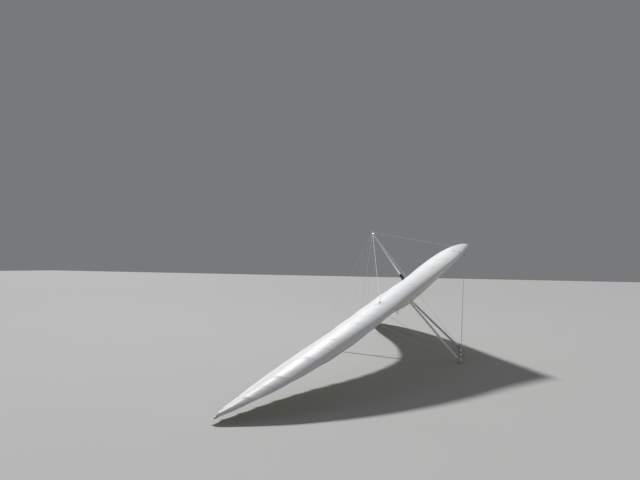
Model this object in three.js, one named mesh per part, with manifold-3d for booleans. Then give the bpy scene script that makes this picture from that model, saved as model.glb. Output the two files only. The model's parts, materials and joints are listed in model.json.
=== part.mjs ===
// A white flex-wing hang glider with a kingpost and a double-surface sail, parked nose up.
// Units are millimetres. Every piece is drawn in the glider's own frame: +X forward along the keel,
// +Y to the left wing tip, +Z away from the control frame, and the origin at the nose. The whole
// glider is then pitched nose up until it rests on its base bar's corners and its keel's tail, and
// stood on z = 0 with the middle of its footprint at x = y = 0.
import * as THREE from 'three';
import { mergeVertices } from 'three/addons/utils/BufferGeometryUtils.js';
import Module from 'manifold-3d';

const wasm = await Module();
wasm.setup();

// Stance
const PITCH = THREE.MathUtils.degToRad(34.36);

// How far the wing is turned about the nose, tail up, from the keel
const WING_TILT = THREE.MathUtils.degToRad(1.2);

// Clearance between pieces that touch
const GAP = 0.3;

// Wing stations from the keel to the tip, before the tilt. lead and trail are the x of the leading
// and trailing edges, drop is the z of the leading edge, twist lifts the trailing edge (degrees), and
// crown and belly are how far the upper and the lower cloth stand off the chord line. sharp is how
// sharp the leading edge is, from 0.5 for a round one to 1 for a wedge.
const STATIONS = [
  { y: 0, lead: 0, trail: -1980, drop: 0, twist: 0.8, crown: 146, belly: 48, sharp: 0.6 },
  { y: 500, lead: -235, trail: -2025, drop: -75, twist: 0.9, crown: 161, belly: 38, sharp: 0.7 },
  { y: 1250, lead: -600, trail: -2165, drop: -150, twist: 2.8, crown: 173, belly: 35, sharp: 0.6 },
  { y: 2050, lead: -957, trail: -2390, drop: -215, twist: 5.9, crown: 173, belly: 35, sharp: 0.5 },
  { y: 2900, lead: -1388, trail: -2685, drop: -287, twist: 8.7, crown: 160, belly: 38, sharp: 0.5 },
  { y: 3700, lead: -1883, trail: -2915, drop: -321, twist: 10.5, crown: 132, belly: 68, sharp: 0.5 },
  { y: 4400, lead: -2418, trail: -3075, drop: -345, twist: 14.3, crown: 100, belly: 15, sharp: 0.6 },
  { y: 4700, lead: -2733, trail: -3132, drop: -312, twist: 15.2, crown: 62, belly: 4, sharp: 0.85 },
  { y: 4934, lead: -3039, trail: -3141, drop: -259, twist: 12, crown: 29, belly: 4, sharp: 1 },
];
const HALF_SPAN = STATIONS.at(-1).y;

// Where the battens lie, the depth of the trailing edge's scallops between them, and the section
const BATTENS = [330, 760, 1190, 1620, 2050, 2480, 2900, 3310, 3700, 4070, 4400, 4700];
const SCALLOP = 16;
const CROWN_AT = 0.25;
const BELLY_AT = 0.1;
const BELLY_FADES_AT = 0.75;
const LOWER_CLOTH_RISES = [0.45, 0.78];
const CLOTH = 8;
const CHORD_SAMPLES = [
  0, 0.008, 0.03, 0.065, 0.11, 0.17, 0.25, 0.34, 0.43, 0.52, 0.61, 0.7, 0.78, 0.88, 1,
];

// Nose cone and nose fittings
const NOSE_CONE = { back: -290, halfWidth: 400, corner: 70, stand: 3, spare: 20 };
const CONE_SHARES = [-1, -0.75, -0.5, -0.25, -0.1, 0, 0.1, 0.25, 0.5, 0.75, 1];
const NOSE_ROOM = { front: 100, down: -500, up: 500 };
const NOSE_PLATE = { front: -65, back: -190, halfWidth: 62, top: -45, thickness: 6 };
const NOSE_CATCH = { x: -125, length: 44, width: 22, depth: 26 };

// Keel and what sits on it
const KEEL = { front: -70, radius: 21, sides: 20 };
const TAIL_PLUG = { radius: 23.5, length: 46, chamfer: 5 };
const KEEL_POCKET = { front: -1690, back: -1960, wall: 3, webTop: 78, webHalf: 3 };
const REAR_BRACKET = { x: -2330, radius: 27, length: 64 };

// Kingpost
const KINGPOST = { baseX: -1296, topX: -1285, topZ: 1145, radius: 17, sides: 18 };
const KINGPOST_BOOT = { radius: 26, topZ: 225 };
const KINGPOST_CAP = { radius: 20, below: 32, above: 15 };

// Control frame
const APEX = { x: -1448, length: 128, halfWidth: 28, bottom: -78, boltRadius: 7, boltHalf: 74 };
const DOWNTUBE = { topY: 50, topZ: -58, chord: 38, thickness: 26 };
const KNUCKLE = { chord: 46, thickness: 33, length: 92 };
const CORNER = {
  x: -1197, y: 725, z: -1529, radius: 20, inner: 66, outer: 22, socket: 96, chord: 48, thickness: 34,
  lug: 66, footClear: 6,
};
const BASE_BAR = { radius: 15, sides: 20 };

// Stays
const WIRE = { radius: 2, sides: 6 };
const STAY_ROOM = { radius: 4, length: 500 };
const LUG = { radius: 5, length: 46, sides: 8 };
const SIDE_PORT = { y: 2700, chordAt: 0.136, radius: 15, depth: 12 };
const TOP_PORT = { y: 0, chordAt: 0.124, radius: 12, depth: 12 };

// Leading-edge tube ends at the wing tips, before the tilt
const TIP_CAP = { radius: 13, inner: [-3062, 4905, -250], outer: [-3092, 4948, -246] };

// Hang strap: a webbing band round the keel, and the loop that hangs from it
const STRAP = { x: -1560, width: 30, wall: 4, drop: 66, keelPlay: 1, bottomRadius: 20 };
const LOOP = { width: 26, wall: 4, topRadius: 20, bottomRadius: 11, drop: 300 };

// Finishes
const finish = (color, roughness, metalness) =>
  new THREE.MeshStandardMaterial({ color, roughness, metalness });
const FINISHES = {
  cloth: finish(0xf3f3f1, 0.75, 0),
  coneCloth: finish(0xe9e9ea, 0.6, 0),
  tube: finish(0xc9ccd0, 0.35, 1),
  steel: finish(0x9da1a6, 0.3, 1),
  black: finish(0x17181a, 0.5, 0),
  webbing: finish(0x1b1c20, 0.85, 0),
  cream: finish(0xe8dfae, 0.6, 0),
  white: finish(0xdededc, 0.5, 0),
};

const X = new THREE.Vector3(1, 0, 0);
const Y = new THREE.Vector3(0, 1, 0);
const Z = new THREE.Vector3(0, 0, 1);
const point = (x, y, z) => new THREE.Vector3(x, y, z);

// The height along `to - from` at a share of the way, eased at both ends.
function eased(from, to, value) {
  const share = THREE.MathUtils.clamp((value - from) / (to - from), 0, 1);
  return share * share * (3 - 2 * share);
}

// A placed mesh as a solid, for joining and cutting.
function solidOf(mesh) {
  mesh.updateMatrix();
  const plain = mesh.geometry.index ? mesh.geometry.toNonIndexed() : mesh.geometry.clone();
  plain.deleteAttribute('normal');
  plain.deleteAttribute('uv');
  const merged = mergeVertices(plain.applyMatrix4(mesh.matrix), 1e-3);
  const vertProperties = new Float32Array(merged.attributes.position.array);
  const triVerts = new Uint32Array(merged.index.array);
  return new wasm.Manifold(new wasm.Mesh({ numProp: 3, vertProperties, triVerts }));
}

function meshOf(solid) {
  const { vertProperties, triVerts } = solid.getMesh();
  const geometry = new THREE.BufferGeometry();
  geometry.setAttribute('position', new THREE.BufferAttribute(vertProperties, 3));
  geometry.setIndex(new THREE.BufferAttribute(triVerts, 1));
  geometry.computeVertexNormals();
  return new THREE.Mesh(geometry);
}

const joined = (meshes) => meshOf(meshes.map(solidOf).reduce((all, one) => all.add(one)));

const cut = (mesh, tools) =>
  meshOf(tools.map(solidOf).reduce((left, tool) => left.subtract(tool), solidOf(mesh)));

const common = (mesh, other) => meshOf(solidOf(mesh).intersect(solidOf(other)));

// A round bar between two points.
function rod(from, to, radius, sides) {
  const along = to.clone().sub(from);
  const geometry = new THREE.CylinderGeometry(radius, radius, along.length(), sides).rotateX(Math.PI / 2);
  const mesh = new THREE.Mesh(geometry);
  mesh.position.copy(from).addScaledVector(along, 0.5);
  mesh.quaternion.setFromUnitVectors(Z, along.normalize());
  return mesh;
}

// A block from its lowest to its highest corner.
function block(low, high) {
  const size = high.clone().sub(low);
  const mesh = new THREE.Mesh(new THREE.BoxGeometry(size.x, size.y, size.z));
  mesh.position.copy(low).addScaledVector(size, 0.5);
  return mesh;
}

// A streamlined tube's outline: an elliptical nose forward and a tapered tail aft.
function fairedOutline(chord, thickness) {
  const nose = chord * 0.4;
  const outline = new THREE.Shape();
  outline.absellipse(chord / 2 - nose, 0, nose, thickness / 2, -Math.PI / 2, Math.PI / 2, false);
  outline.quadraticCurveTo(-chord * 0.3, thickness / 2, -chord / 2, thickness * 0.1);
  outline.lineTo(-chord / 2, -thickness * 0.1);
  outline.quadraticCurveTo(-chord * 0.3, -thickness / 2, chord / 2 - nose, -thickness / 2);
  return outline;
}

// An outline carried straight between two points, with its own X axis kept as far forward as it goes.
function strut(outline, from, to) {
  const along = to.clone().sub(from);
  const geometry = new THREE.ExtrudeGeometry(outline, {
    depth: along.length(), bevelEnabled: false, curveSegments: 5,
  });
  const mesh = new THREE.Mesh(geometry);
  const axis = along.normalize();
  const forward = X.clone().addScaledVector(axis, -axis.x).normalize();
  const across = axis.clone().cross(forward);
  mesh.quaternion.setFromRotationMatrix(new THREE.Matrix4().makeBasis(forward, across, axis));
  mesh.position.copy(from);
  return mesh;
}

// A closed band round two circles, the second one below the first: its outline lies in X and Y, and
// its width runs along Z about the middle.
function band(topRadius, bottomRadius, drop, wall, width) {
  const around = (path, grow) => {
    const tilt = -Math.asin((topRadius - bottomRadius) / drop);
    path.absarc(0, 0, topRadius + grow, tilt, Math.PI - tilt, false);
    path.absarc(0, -drop, bottomRadius + grow, Math.PI - tilt, 2 * Math.PI + tilt, false);
    return path;
  };
  const outline = around(new THREE.Shape(), wall);
  outline.holes.push(around(new THREE.Path(), 0));
  const geometry = new THREE.ExtrudeGeometry(outline, {
    depth: width, bevelEnabled: false, curveSegments: 12,
  });
  return new THREE.Mesh(geometry.translate(0, 0, -width / 2));
}

// The wing's sections
// A column of the station table at any distance from the keel, on a smooth curve through its rows.
function stationValue(name, y) {
  const last = STATIONS.length - 1;
  const away = Math.min(Math.abs(y), HALF_SPAN);
  const bay = Math.min(STATIONS.findLastIndex((row) => row.y <= away), last - 1);
  const slope = (row) => {
    const before = STATIONS[Math.max(row - 1, 0)];
    const after = STATIONS[Math.min(row + 1, last)];
    return (after[name] - before[name]) / (after.y - before.y);
  };
  const width = STATIONS[bay + 1].y - STATIONS[bay].y;
  const t = (away - STATIONS[bay].y) / width;
  const step = STATIONS[bay + 1][name] - STATIONS[bay][name];
  const [start, end] = [slope(bay) * width, slope(bay + 1) * width];
  const bend = 3 * step - 2 * start - end + t * (start + end - 2 * step);
  return STATIONS[bay][name] + t * (start + t * bend);
}

const crownShape = (u, sharp) => (u < CROWN_AT
  ? (1 - ((CROWN_AT - u) / CROWN_AT) ** 2) ** sharp
  : 0.5 * (1 + Math.cos((Math.PI * (u - CROWN_AT)) / (1 - CROWN_AT))));

const bellyShape = (u, sharp) => (u < BELLY_AT
  ? (1 - ((BELLY_AT - u) / BELLY_AT) ** 2) ** sharp
  : Math.max(0, 1 - ((u - BELLY_AT) / (BELLY_FADES_AT - BELLY_AT)) ** 1.3));

// How far the trailing edge is drawn in at this distance from the keel: nothing at a batten.
function scallopAt(y) {
  const edges = [0, ...BATTENS, HALF_SPAN];
  const away = Math.min(Math.abs(y), HALF_SPAN - 1);
  const bay = edges.findLastIndex((edge) => edge <= away);
  const share = (away - edges[bay]) / (edges[bay + 1] - edges[bay]);
  return SCALLOP * 4 * share * (1 - share);
}

// A point of the wing, turned with it.
const wingPoint = (x, y, z) => point(x, y, z).applyAxisAngle(Y, WING_TILT);

// A point on the sail's skin: u runs from 0 at the leading edge to 1 at the trailing edge.
function skinPoint(y, u, upper, stand = 0) {
  const lead = stationValue('lead', y) + stand;
  const chord = lead - stationValue('trail', y) - scallopAt(y);
  const twist = THREE.MathUtils.degToRad(stationValue('twist', y));
  const sharp = stationValue('sharp', y);
  const top = (stationValue('crown', y) + stand) * crownShape(u, sharp);
  const bottom = -(stationValue('belly', y) + stand) * bellyShape(u, sharp);
  const rise = eased(...LOWER_CLOTH_RISES, u);
  const height = upper ? top : bottom * (1 - rise) + (top - CLOTH) * rise;
  const z = stationValue('drop', y) + chord * u * Math.sin(twist) + height;
  return wingPoint(lead - chord * u * Math.cos(twist), y, z);
}

// A closed length of wing through sections at the given distances from the keel, in rising order.
function wingSpan(distances, stand = 0) {
  const rows = distances.map((y) => ({
    upper: CHORD_SAMPLES.map((u) => skinPoint(y, u, true, stand)),
    lower: CHORD_SAMPLES.map((u) => skinPoint(y, u, false, stand)),
  }));
  const corners = [];
  const triangle = (a, b, c) => {
    const flat = a.equals(b) || b.equals(c) || c.equals(a);
    if (!flat) corners.push(a, b, c);
  };
  const quad = (a, b, c, d) => {
    triangle(a, b, c);
    triangle(a, c, d);
  };
  const last = CHORD_SAMPLES.length - 1;
  const first = rows[0];
  const final = rows.at(-1);
  for (let j = 0; j + 1 < rows.length; j += 1) {
    const [here, next] = [rows[j], rows[j + 1]];
    for (let i = 0; i < last; i += 1) {
      quad(here.upper[i], next.upper[i], next.upper[i + 1], here.upper[i + 1]);
      quad(here.lower[i], here.lower[i + 1], next.lower[i + 1], next.lower[i]);
    }
    quad(here.upper[last], next.upper[last], next.lower[last], here.lower[last]);
  }
  for (let i = 0; i < last; i += 1) {
    quad(first.upper[i], first.upper[i + 1], first.lower[i + 1], first.lower[i]);
    quad(final.upper[i], final.lower[i], final.lower[i + 1], final.upper[i + 1]);
  }
  return new THREE.Mesh(new THREE.BufferGeometry().setFromPoints(corners));
}

// The distances of a half wing's sections: its root, each batten, the middle of each bay, its tip.
function halfWingDistances(side) {
  const edges = [0, ...BATTENS, HALF_SPAN];
  const middles = edges.slice(1).map((edge, i) => (edge + edges[i]) / 2);
  const distances = [GAP / 2, ...edges.slice(1), ...middles].sort((a, b) => a - b);
  return side > 0 ? distances : distances.map((y) => -y).reverse();
}

// The keel's tail reaches back far enough for the plug's edge to stand level with the base bar.
const cornerDepth = -CORNER.z - TAIL_PLUG.radius;
const cornerToTail = (cornerDepth * Math.cos(PITCH) + CORNER.radius) / Math.sin(PITCH);
const keelTail = CORNER.x - TAIL_PLUG.chamfer - cornerToTail;

const glider = new THREE.Group();

function add(name, finishName, mesh, parent = glider) {
  mesh.name = name;
  mesh.material = FINISHES[finishName];
  parent.add(mesh);
  return mesh;
}

// Points that the stays run between
const plateBottom = NOSE_PLATE.top - NOSE_PLATE.thickness;
const noseCatchCentre = point(NOSE_CATCH.x, 0, plateBottom - NOSE_CATCH.depth / 2);
const kingpostCapCentre = point(KINGPOST.topX, 0, KINGPOST.topZ);
const rearBracketCentre = point(REAR_BRACKET.x, 0, 0);
const cornerCentre = (side) => point(CORNER.x, side * CORNER.y, CORNER.z);
const sideSkinPoint = (side, upper) => skinPoint(side * SIDE_PORT.y, SIDE_PORT.chordAt, upper);
const topSkinPoint = skinPoint(TOP_PORT.y, TOP_PORT.chordAt, true, NOSE_CONE.stand);
const SIDES = { left: 1, right: -1 };

// A lug that points from a fitting's centre along a stay.
function lug(centre, target, length = LUG.length) {
  const direction = target.clone().sub(centre).normalize();
  return rod(centre, centre.clone().addScaledVector(direction, length), LUG.radius, LUG.sides);
}

// A port in the sail or the nose cone that a stay runs into: half sunk, square to the stay.
function port(skin, from, size, grow) {
  const direction = from.clone().sub(skin).normalize();
  const inner = skin.clone().addScaledVector(direction, -size.depth / 2 - grow);
  const outer = skin.clone().addScaledVector(direction, size.depth / 2 + grow);
  return rod(inner, outer, size.radius + grow, 16);
}

// The room beside a port that its stay needs where it runs close over the cloth.
function stayRoom(skin, from) {
  const direction = from.clone().sub(skin).normalize();
  return rod(skin, skin.clone().addScaledVector(direction, STAY_ROOM.length), STAY_ROOM.radius, WIRE.sides);
}

// A stay between two ends, kept clear of each by the given length.
function stay(from, fromClear, to, toClear) {
  const direction = to.clone().sub(from).normalize();
  const start = from.clone().addScaledVector(direction, fromClear + GAP);
  const end = to.clone().addScaledVector(direction, -toClear - GAP);
  return rod(start, end, WIRE.radius, WIRE.sides);
}

const keelEnd = keelTail + TAIL_PLUG.length + GAP;
const keelRod = (grow) => rod(point(KEEL.front + grow, 0, 0), point(keelEnd, 0, 0),
  KEEL.radius + grow, KEEL.sides);

const postAt = (z) => point(KINGPOST.baseX, 0, z);
const kingpostBoot = (grow) => rod(postAt(0), postAt(KINGPOST_BOOT.topZ),
  KINGPOST_BOOT.radius + grow, KINGPOST.sides);

function nosePlate(grow) {
  const { front, back, halfWidth, top, thickness } = NOSE_PLATE;
  const outline = new THREE.Shape([
    new THREE.Vector2(front + grow, -halfWidth / 2 - grow),
    new THREE.Vector2(front + grow, halfWidth / 2 + grow),
    new THREE.Vector2(back - grow, halfWidth + grow),
    new THREE.Vector2(back - grow, -halfWidth - grow),
  ]);
  const geometry = new THREE.ExtrudeGeometry(outline, { depth: thickness + 2 * grow, bevelEnabled: false });
  return new THREE.Mesh(geometry.translate(0, 0, top - thickness - grow));
}

function keelPocket(grow) {
  const { front, back, wall, webTop, webHalf } = KEEL_POCKET;
  const sleeveRadius = KEEL.radius + wall + GAP + grow;
  const sleeve = rod(point(front + grow, 0, 0), point(back - grow, 0, 0), sleeveRadius, KEEL.sides);
  const webFoot = point(back - grow, -webHalf - grow, 0);
  const web = block(webFoot, point(front + grow, webHalf + grow, webTop + grow));
  return joined([sleeve, web]);
}

// The room that the nose cone takes from the sail, seen from above.
function noseRoom(grow) {
  const { back, halfWidth, corner } = NOSE_CONE;
  const [rear, wide] = [back - grow, halfWidth + grow];
  const outline = new THREE.Shape([
    new THREE.Vector2(NOSE_ROOM.front, -wide), new THREE.Vector2(NOSE_ROOM.front, wide),
    new THREE.Vector2(rear + corner, wide),
    new THREE.Vector2(rear, wide - corner), new THREE.Vector2(rear, corner - wide),
    new THREE.Vector2(rear + corner, -wide),
  ]);
  const { down, up } = NOSE_ROOM;
  const geometry = new THREE.ExtrudeGeometry(outline, { depth: up - down, bevelEnabled: false });
  return new THREE.Mesh(geometry.translate(0, 0, down));
}

function tipCap(side, grow) {
  const [inner, outer] = [TIP_CAP.inner, TIP_CAP.outer].map(([x, y, z]) => wingPoint(x, side * y, z));
  return rod(inner, outer, TIP_CAP.radius + grow, 14);
}

// Sail
const keelTools = [keelRod(GAP), kingpostBoot(GAP), keelPocket(GAP)];
for (const [name, side] of Object.entries(SIDES)) {
  const ports = [
    port(sideSkinPoint(side, true), kingpostCapCentre, SIDE_PORT, GAP),
    port(sideSkinPoint(side, false), cornerCentre(side), SIDE_PORT, GAP),
    stayRoom(sideSkinPoint(side, true), kingpostCapCentre),
    stayRoom(sideSkinPoint(side, false), cornerCentre(side)),
  ];
  const whole = wingSpan(halfWingDistances(side));
  add(`sail_${name}`, 'cloth', cut(whole, [noseRoom(GAP), ...keelTools, ...ports, tipCap(side, GAP)]));
  add(`tip_cap_${name}`, 'cream', tipCap(side, 0));
}

const coneDistances = CONE_SHARES.map((share) => share * (NOSE_CONE.halfWidth + NOSE_CONE.spare));
const coneBody = common(wingSpan(coneDistances, NOSE_CONE.stand), noseRoom(0));
const topPortRoom = port(topSkinPoint, kingpostCapCentre, TOP_PORT, GAP);
add('nose_cone', 'coneCloth', cut(coneBody, [keelRod(GAP), nosePlate(GAP), topPortRoom]));
add('nose_plate', 'tube', nosePlate(0));

const catchHalf = point(NOSE_CATCH.length / 2, NOSE_CATCH.width / 2, NOSE_CATCH.depth / 2 - GAP);
const catchBlock = block(noseCatchCentre.clone().sub(catchHalf), noseCatchCentre.clone().add(catchHalf));
const catchLugs = [1, -1].map((side) => lug(noseCatchCentre, cornerCentre(side)));
add('nose_catch', 'steel', joined([catchBlock, ...catchLugs]));

// Keel
add('keel_tube', 'tube', keelRod(0));
const plugProfile = [
  new THREE.Vector2(0, 0),
  new THREE.Vector2(TAIL_PLUG.radius - TAIL_PLUG.chamfer, 0),
  new THREE.Vector2(TAIL_PLUG.radius, TAIL_PLUG.chamfer),
  new THREE.Vector2(TAIL_PLUG.radius, TAIL_PLUG.length),
  new THREE.Vector2(0, TAIL_PLUG.length),
];
const plugMesh = new THREE.Mesh(new THREE.LatheGeometry(plugProfile, KEEL.sides));
const tailPlug = add('keel_tail_plug', 'black', plugMesh);
tailPlug.position.set(keelTail, 0, 0);
tailPlug.rotation.z = -Math.PI / 2;
add('keel_pocket', 'cloth', cut(keelPocket(0), [keelRod(GAP)]));

const rearHalf = REAR_BRACKET.length / 2;
const rearRing = rod(point(REAR_BRACKET.x - rearHalf, 0, 0), point(REAR_BRACKET.x + rearHalf, 0, 0),
  REAR_BRACKET.radius, KEEL.sides);
const rearEnds = [cornerCentre(1), cornerCentre(-1), kingpostCapCentre];
const rearLugs = rearEnds.map((end) => lug(rearBracketCentre, end));
add('rear_wire_bracket', 'steel', cut(joined([rearRing, ...rearLugs]), [keelRod(GAP)]));

// Kingpost
add('kingpost_base', 'black', cut(kingpostBoot(0), [keelRod(GAP)]));
const capBottom = kingpostCapCentre.clone().setZ(KINGPOST.topZ - KINGPOST_CAP.below);
const capTop = kingpostCapCentre.clone().setZ(KINGPOST.topZ + KINGPOST_CAP.above);
const postFoot = postAt(KINGPOST_BOOT.topZ + GAP);
add('kingpost_tube', 'tube', cut(rod(postFoot, capBottom, KINGPOST.radius, KINGPOST.sides), [
  rod(capBottom.clone().setZ(capBottom.z - GAP), capTop, KINGPOST_CAP.radius * 2, 12),
  kingpostBoot(GAP),
]));
const sideUpperPorts = Object.values(SIDES).map((side) => sideSkinPoint(side, true));
const capEnds = [topSkinPoint, rearBracketCentre, ...sideUpperPorts];
const capLugs = capEnds.map((end) => lug(kingpostCapCentre, end));
const capBody = rod(capBottom, capTop, KINGPOST_CAP.radius, KINGPOST.sides);
add('kingpost_cap', 'white', joined([capBody, ...capLugs]));
add('top_front_wire_port', 'white', port(topSkinPoint, kingpostCapCentre, TOP_PORT, 0));

// Control frame
function apexBracket(grow) {
  const half = APEX.length / 2 + grow;
  const body = block(point(APEX.x - half, -APEX.halfWidth - grow, APEX.bottom - grow),
    point(APEX.x + half, APEX.halfWidth + grow, 0));
  const boltEnd = (y) => point(APEX.x, y, DOWNTUBE.topZ);
  const bolt = rod(boltEnd(-APEX.boltHalf), boltEnd(APEX.boltHalf), APEX.boltRadius + grow, 12);
  return joined([body, bolt]);
}
add('apex_bracket', 'tube', cut(apexBracket(0), [keelRod(GAP)]));

for (const [name, side] of Object.entries(SIDES)) {
  const top = point(APEX.x, side * DOWNTUBE.topY, DOWNTUBE.topZ);
  const foot = cornerCentre(side);
  const down = foot.clone().sub(top).normalize();
  const knuckleTop = top.clone().addScaledVector(down, -KNUCKLE.thickness / 2);
  const knuckleEnd = top.clone().addScaledVector(down, KNUCKLE.length);
  const socketTop = foot.clone().addScaledVector(down, -CORNER.socket);
  const knuckle = strut(fairedOutline(KNUCKLE.chord, KNUCKLE.thickness), knuckleTop, knuckleEnd);
  add(`downtube_knuckle_${name}`, 'black', cut(knuckle, [apexBracket(GAP), keelRod(GAP)]));
  add(`downtube_${name}`, 'tube', strut(fairedOutline(DOWNTUBE.chord, DOWNTUBE.thickness),
    knuckleEnd.clone().addScaledVector(down, GAP), socketTop.clone().addScaledVector(down, -GAP)));

  const barEnd = foot.clone().setY(side * (CORNER.y - CORNER.inner));
  const outerEnd = foot.clone().setY(side * (CORNER.y + CORNER.outer));
  const barSocket = rod(barEnd, outerEnd, CORNER.radius, 24);
  const socketFoot = foot.clone().addScaledVector(down, -CORNER.footClear);
  const tubeSocket = strut(fairedOutline(CORNER.chord, CORNER.thickness), socketTop, socketFoot);
  const wireEnds = [noseCatchCentre, rearBracketCentre, sideSkinPoint(side, false)];
  const cornerLugs = wireEnds.map((end) => lug(foot, end, CORNER.lug));
  add(`corner_fitting_${name}`, 'tube', joined([barSocket, tubeSocket, ...cornerLugs]));
}
const barHalf = CORNER.y - CORNER.inner - GAP;
const barAt = (y) => point(CORNER.x, y, CORNER.z);
add('base_bar', 'tube', rod(barAt(-barHalf), barAt(barHalf), BASE_BAR.radius, BASE_BAR.sides));

// Stays
add('wire_top_front', 'steel', stay(kingpostCapCentre, LUG.length, topSkinPoint, TOP_PORT.depth / 2));
add('wire_top_rear', 'steel', stay(kingpostCapCentre, LUG.length, rearBracketCentre, LUG.length));
for (const [name, side] of Object.entries(SIDES)) {
  const foot = cornerCentre(side);
  const upper = sideSkinPoint(side, true);
  const lower = sideSkinPoint(side, false);
  add(`side_port_top_${name}`, 'white', port(upper, kingpostCapCentre, SIDE_PORT, 0));
  add(`side_port_bottom_${name}`, 'white', port(lower, foot, SIDE_PORT, 0));
  const portHalf = SIDE_PORT.depth / 2;
  add(`wire_top_side_${name}`, 'steel', stay(kingpostCapCentre, LUG.length, upper, portHalf));
  add(`wire_bottom_side_${name}`, 'steel', stay(foot, CORNER.lug, lower, portHalf));
  add(`wire_bottom_front_${name}`, 'steel', stay(foot, CORNER.lug, noseCatchCentre, LUG.length));
  add(`wire_bottom_rear_${name}`, 'steel', stay(foot, CORNER.lug, rearBracketCentre, LUG.length));
}

// Hang strap: the band swings about the keel, and the loop hangs straight down from the band
const keelBand = band(KEEL.radius + STRAP.keelPlay, STRAP.bottomRadius, STRAP.drop, STRAP.wall, STRAP.width);
add('hang_strap_band', 'webbing', keelBand);
keelBand.position.set(STRAP.x, 0, 0);
keelBand.quaternion.setFromRotationMatrix(new THREE.Matrix4().makeBasis(point(0, 1, 0), Z, X));

const hangPoint = new THREE.Group();
hangPoint.position.set(STRAP.x, 0, -STRAP.drop - STRAP.bottomRadius - STRAP.wall / 2);
hangPoint.rotation.y = PITCH;
glider.add(hangPoint);
const loopBand = band(LOOP.topRadius, LOOP.bottomRadius, LOOP.drop, LOOP.wall, LOOP.width);
const hangLoop = add('hang_loop', 'webbing', loopBand, hangPoint);
hangLoop.rotation.x = Math.PI / 2;

// Stand the glider on its base bar and keel tail, with the middle of its footprint at the origin
glider.rotation.y = -PITCH;
const parked = new THREE.Group();
parked.add(glider);
const bounds = new THREE.Box3().setFromObject(parked, true);
const middle = bounds.getCenter(new THREE.Vector3());
glider.position.set(-middle.x, -middle.y, -bounds.min.z);

export default parked;
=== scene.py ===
"""Dresses a parked, white, kingposted flex-wing hang glider and sets it in a plain studio.

Shapes are drawn in the glider's own frame, in metres: +X forward along the keel, +Y to the left wing
tip, +Z away from the control frame, and the origin at the nose. A Rig carries them into the frame of
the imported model, where the glider is pitched nose up on its base bar and its keel's tail.
"""

import functools
import json
import logging
import math
from dataclasses import dataclass, field
from enum import Enum
from typing import Sequence

import bpy
from mathutils import Matrix, Vector, noise


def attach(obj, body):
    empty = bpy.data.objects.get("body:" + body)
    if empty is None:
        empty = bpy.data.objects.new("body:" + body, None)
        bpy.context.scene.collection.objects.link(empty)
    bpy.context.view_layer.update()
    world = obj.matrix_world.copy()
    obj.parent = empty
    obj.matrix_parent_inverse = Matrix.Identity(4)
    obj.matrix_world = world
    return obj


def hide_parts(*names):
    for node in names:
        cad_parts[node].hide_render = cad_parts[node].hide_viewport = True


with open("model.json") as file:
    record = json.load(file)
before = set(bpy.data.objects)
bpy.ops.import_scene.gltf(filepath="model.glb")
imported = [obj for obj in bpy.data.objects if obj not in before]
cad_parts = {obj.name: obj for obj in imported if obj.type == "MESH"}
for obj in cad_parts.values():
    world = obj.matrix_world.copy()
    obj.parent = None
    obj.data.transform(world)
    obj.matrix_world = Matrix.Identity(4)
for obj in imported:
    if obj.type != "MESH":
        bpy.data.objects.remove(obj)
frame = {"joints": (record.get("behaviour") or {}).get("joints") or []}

log = logging.getLogger("glider")

Colour = tuple[float, float, float]
Pair = tuple[float, float]
Outline = Sequence[Pair]
Face = tuple[int, ...]
AIRFRAME = "airframe"

# Directions in the glider's own frame
FORWARD = Vector((1, 0, 0))
LEFTWARD = Vector((0, 1, 0))
UP = Vector((0, 0, 1))


class Side(Enum):
    """The two halves of the glider, with the sign of their Y."""

    LEFT = 1
    RIGHT = -1

    @property
    def word(self) -> str:
        """The side's name in a piece's name."""
        return self.name.lower()

    @property
    def out(self) -> Vector:
        """The way out from the keel."""
        return Vector((0, self.value, 0))

    @classmethod
    def of(cls, y: float) -> "Side":
        """The side that a place across the glider is on."""
        return cls.LEFT if y >= 0 else cls.RIGHT


# Shader graphs


class Sock:
    """One output of a shader graph, for use in Python arithmetic."""

    def __init__(self, graph: "Graph", socket: bpy.types.NodeSocket) -> None:
        """Wraps a node's output socket."""
        self.graph = graph
        self.socket = socket

    def __add__(self, other: "Sock | float") -> "Sock":
        """The sum of two values."""
        return self.graph.maths("ADD", self, other)

    __radd__ = __add__

    def __sub__(self, other: "Sock | float") -> "Sock":
        """This value less another."""
        return self.graph.maths("SUBTRACT", self, other)

    def __rsub__(self, other: float) -> "Sock":
        """A number less this value."""
        return self.graph.maths("SUBTRACT", other, self)

    def __mul__(self, other: "Sock | float") -> "Sock":
        """The product of two values."""
        return self.graph.maths("MULTIPLY", self, other)

    __rmul__ = __mul__

    def sine(self) -> "Sock":
        """The sine of this value."""
        return self.graph.maths("SINE", self)

    def size(self) -> "Sock":
        """This value without its sign."""
        return self.graph.maths("ABSOLUTE", self)

    def part(self) -> "Sock":
        """What is left of this value above a whole number."""
        return self.graph.maths("FRACT", self)

    def most(self, other: "Sock | float") -> "Sock":
        """The larger of two values."""
        return self.graph.maths("MAXIMUM", self, other)


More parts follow.
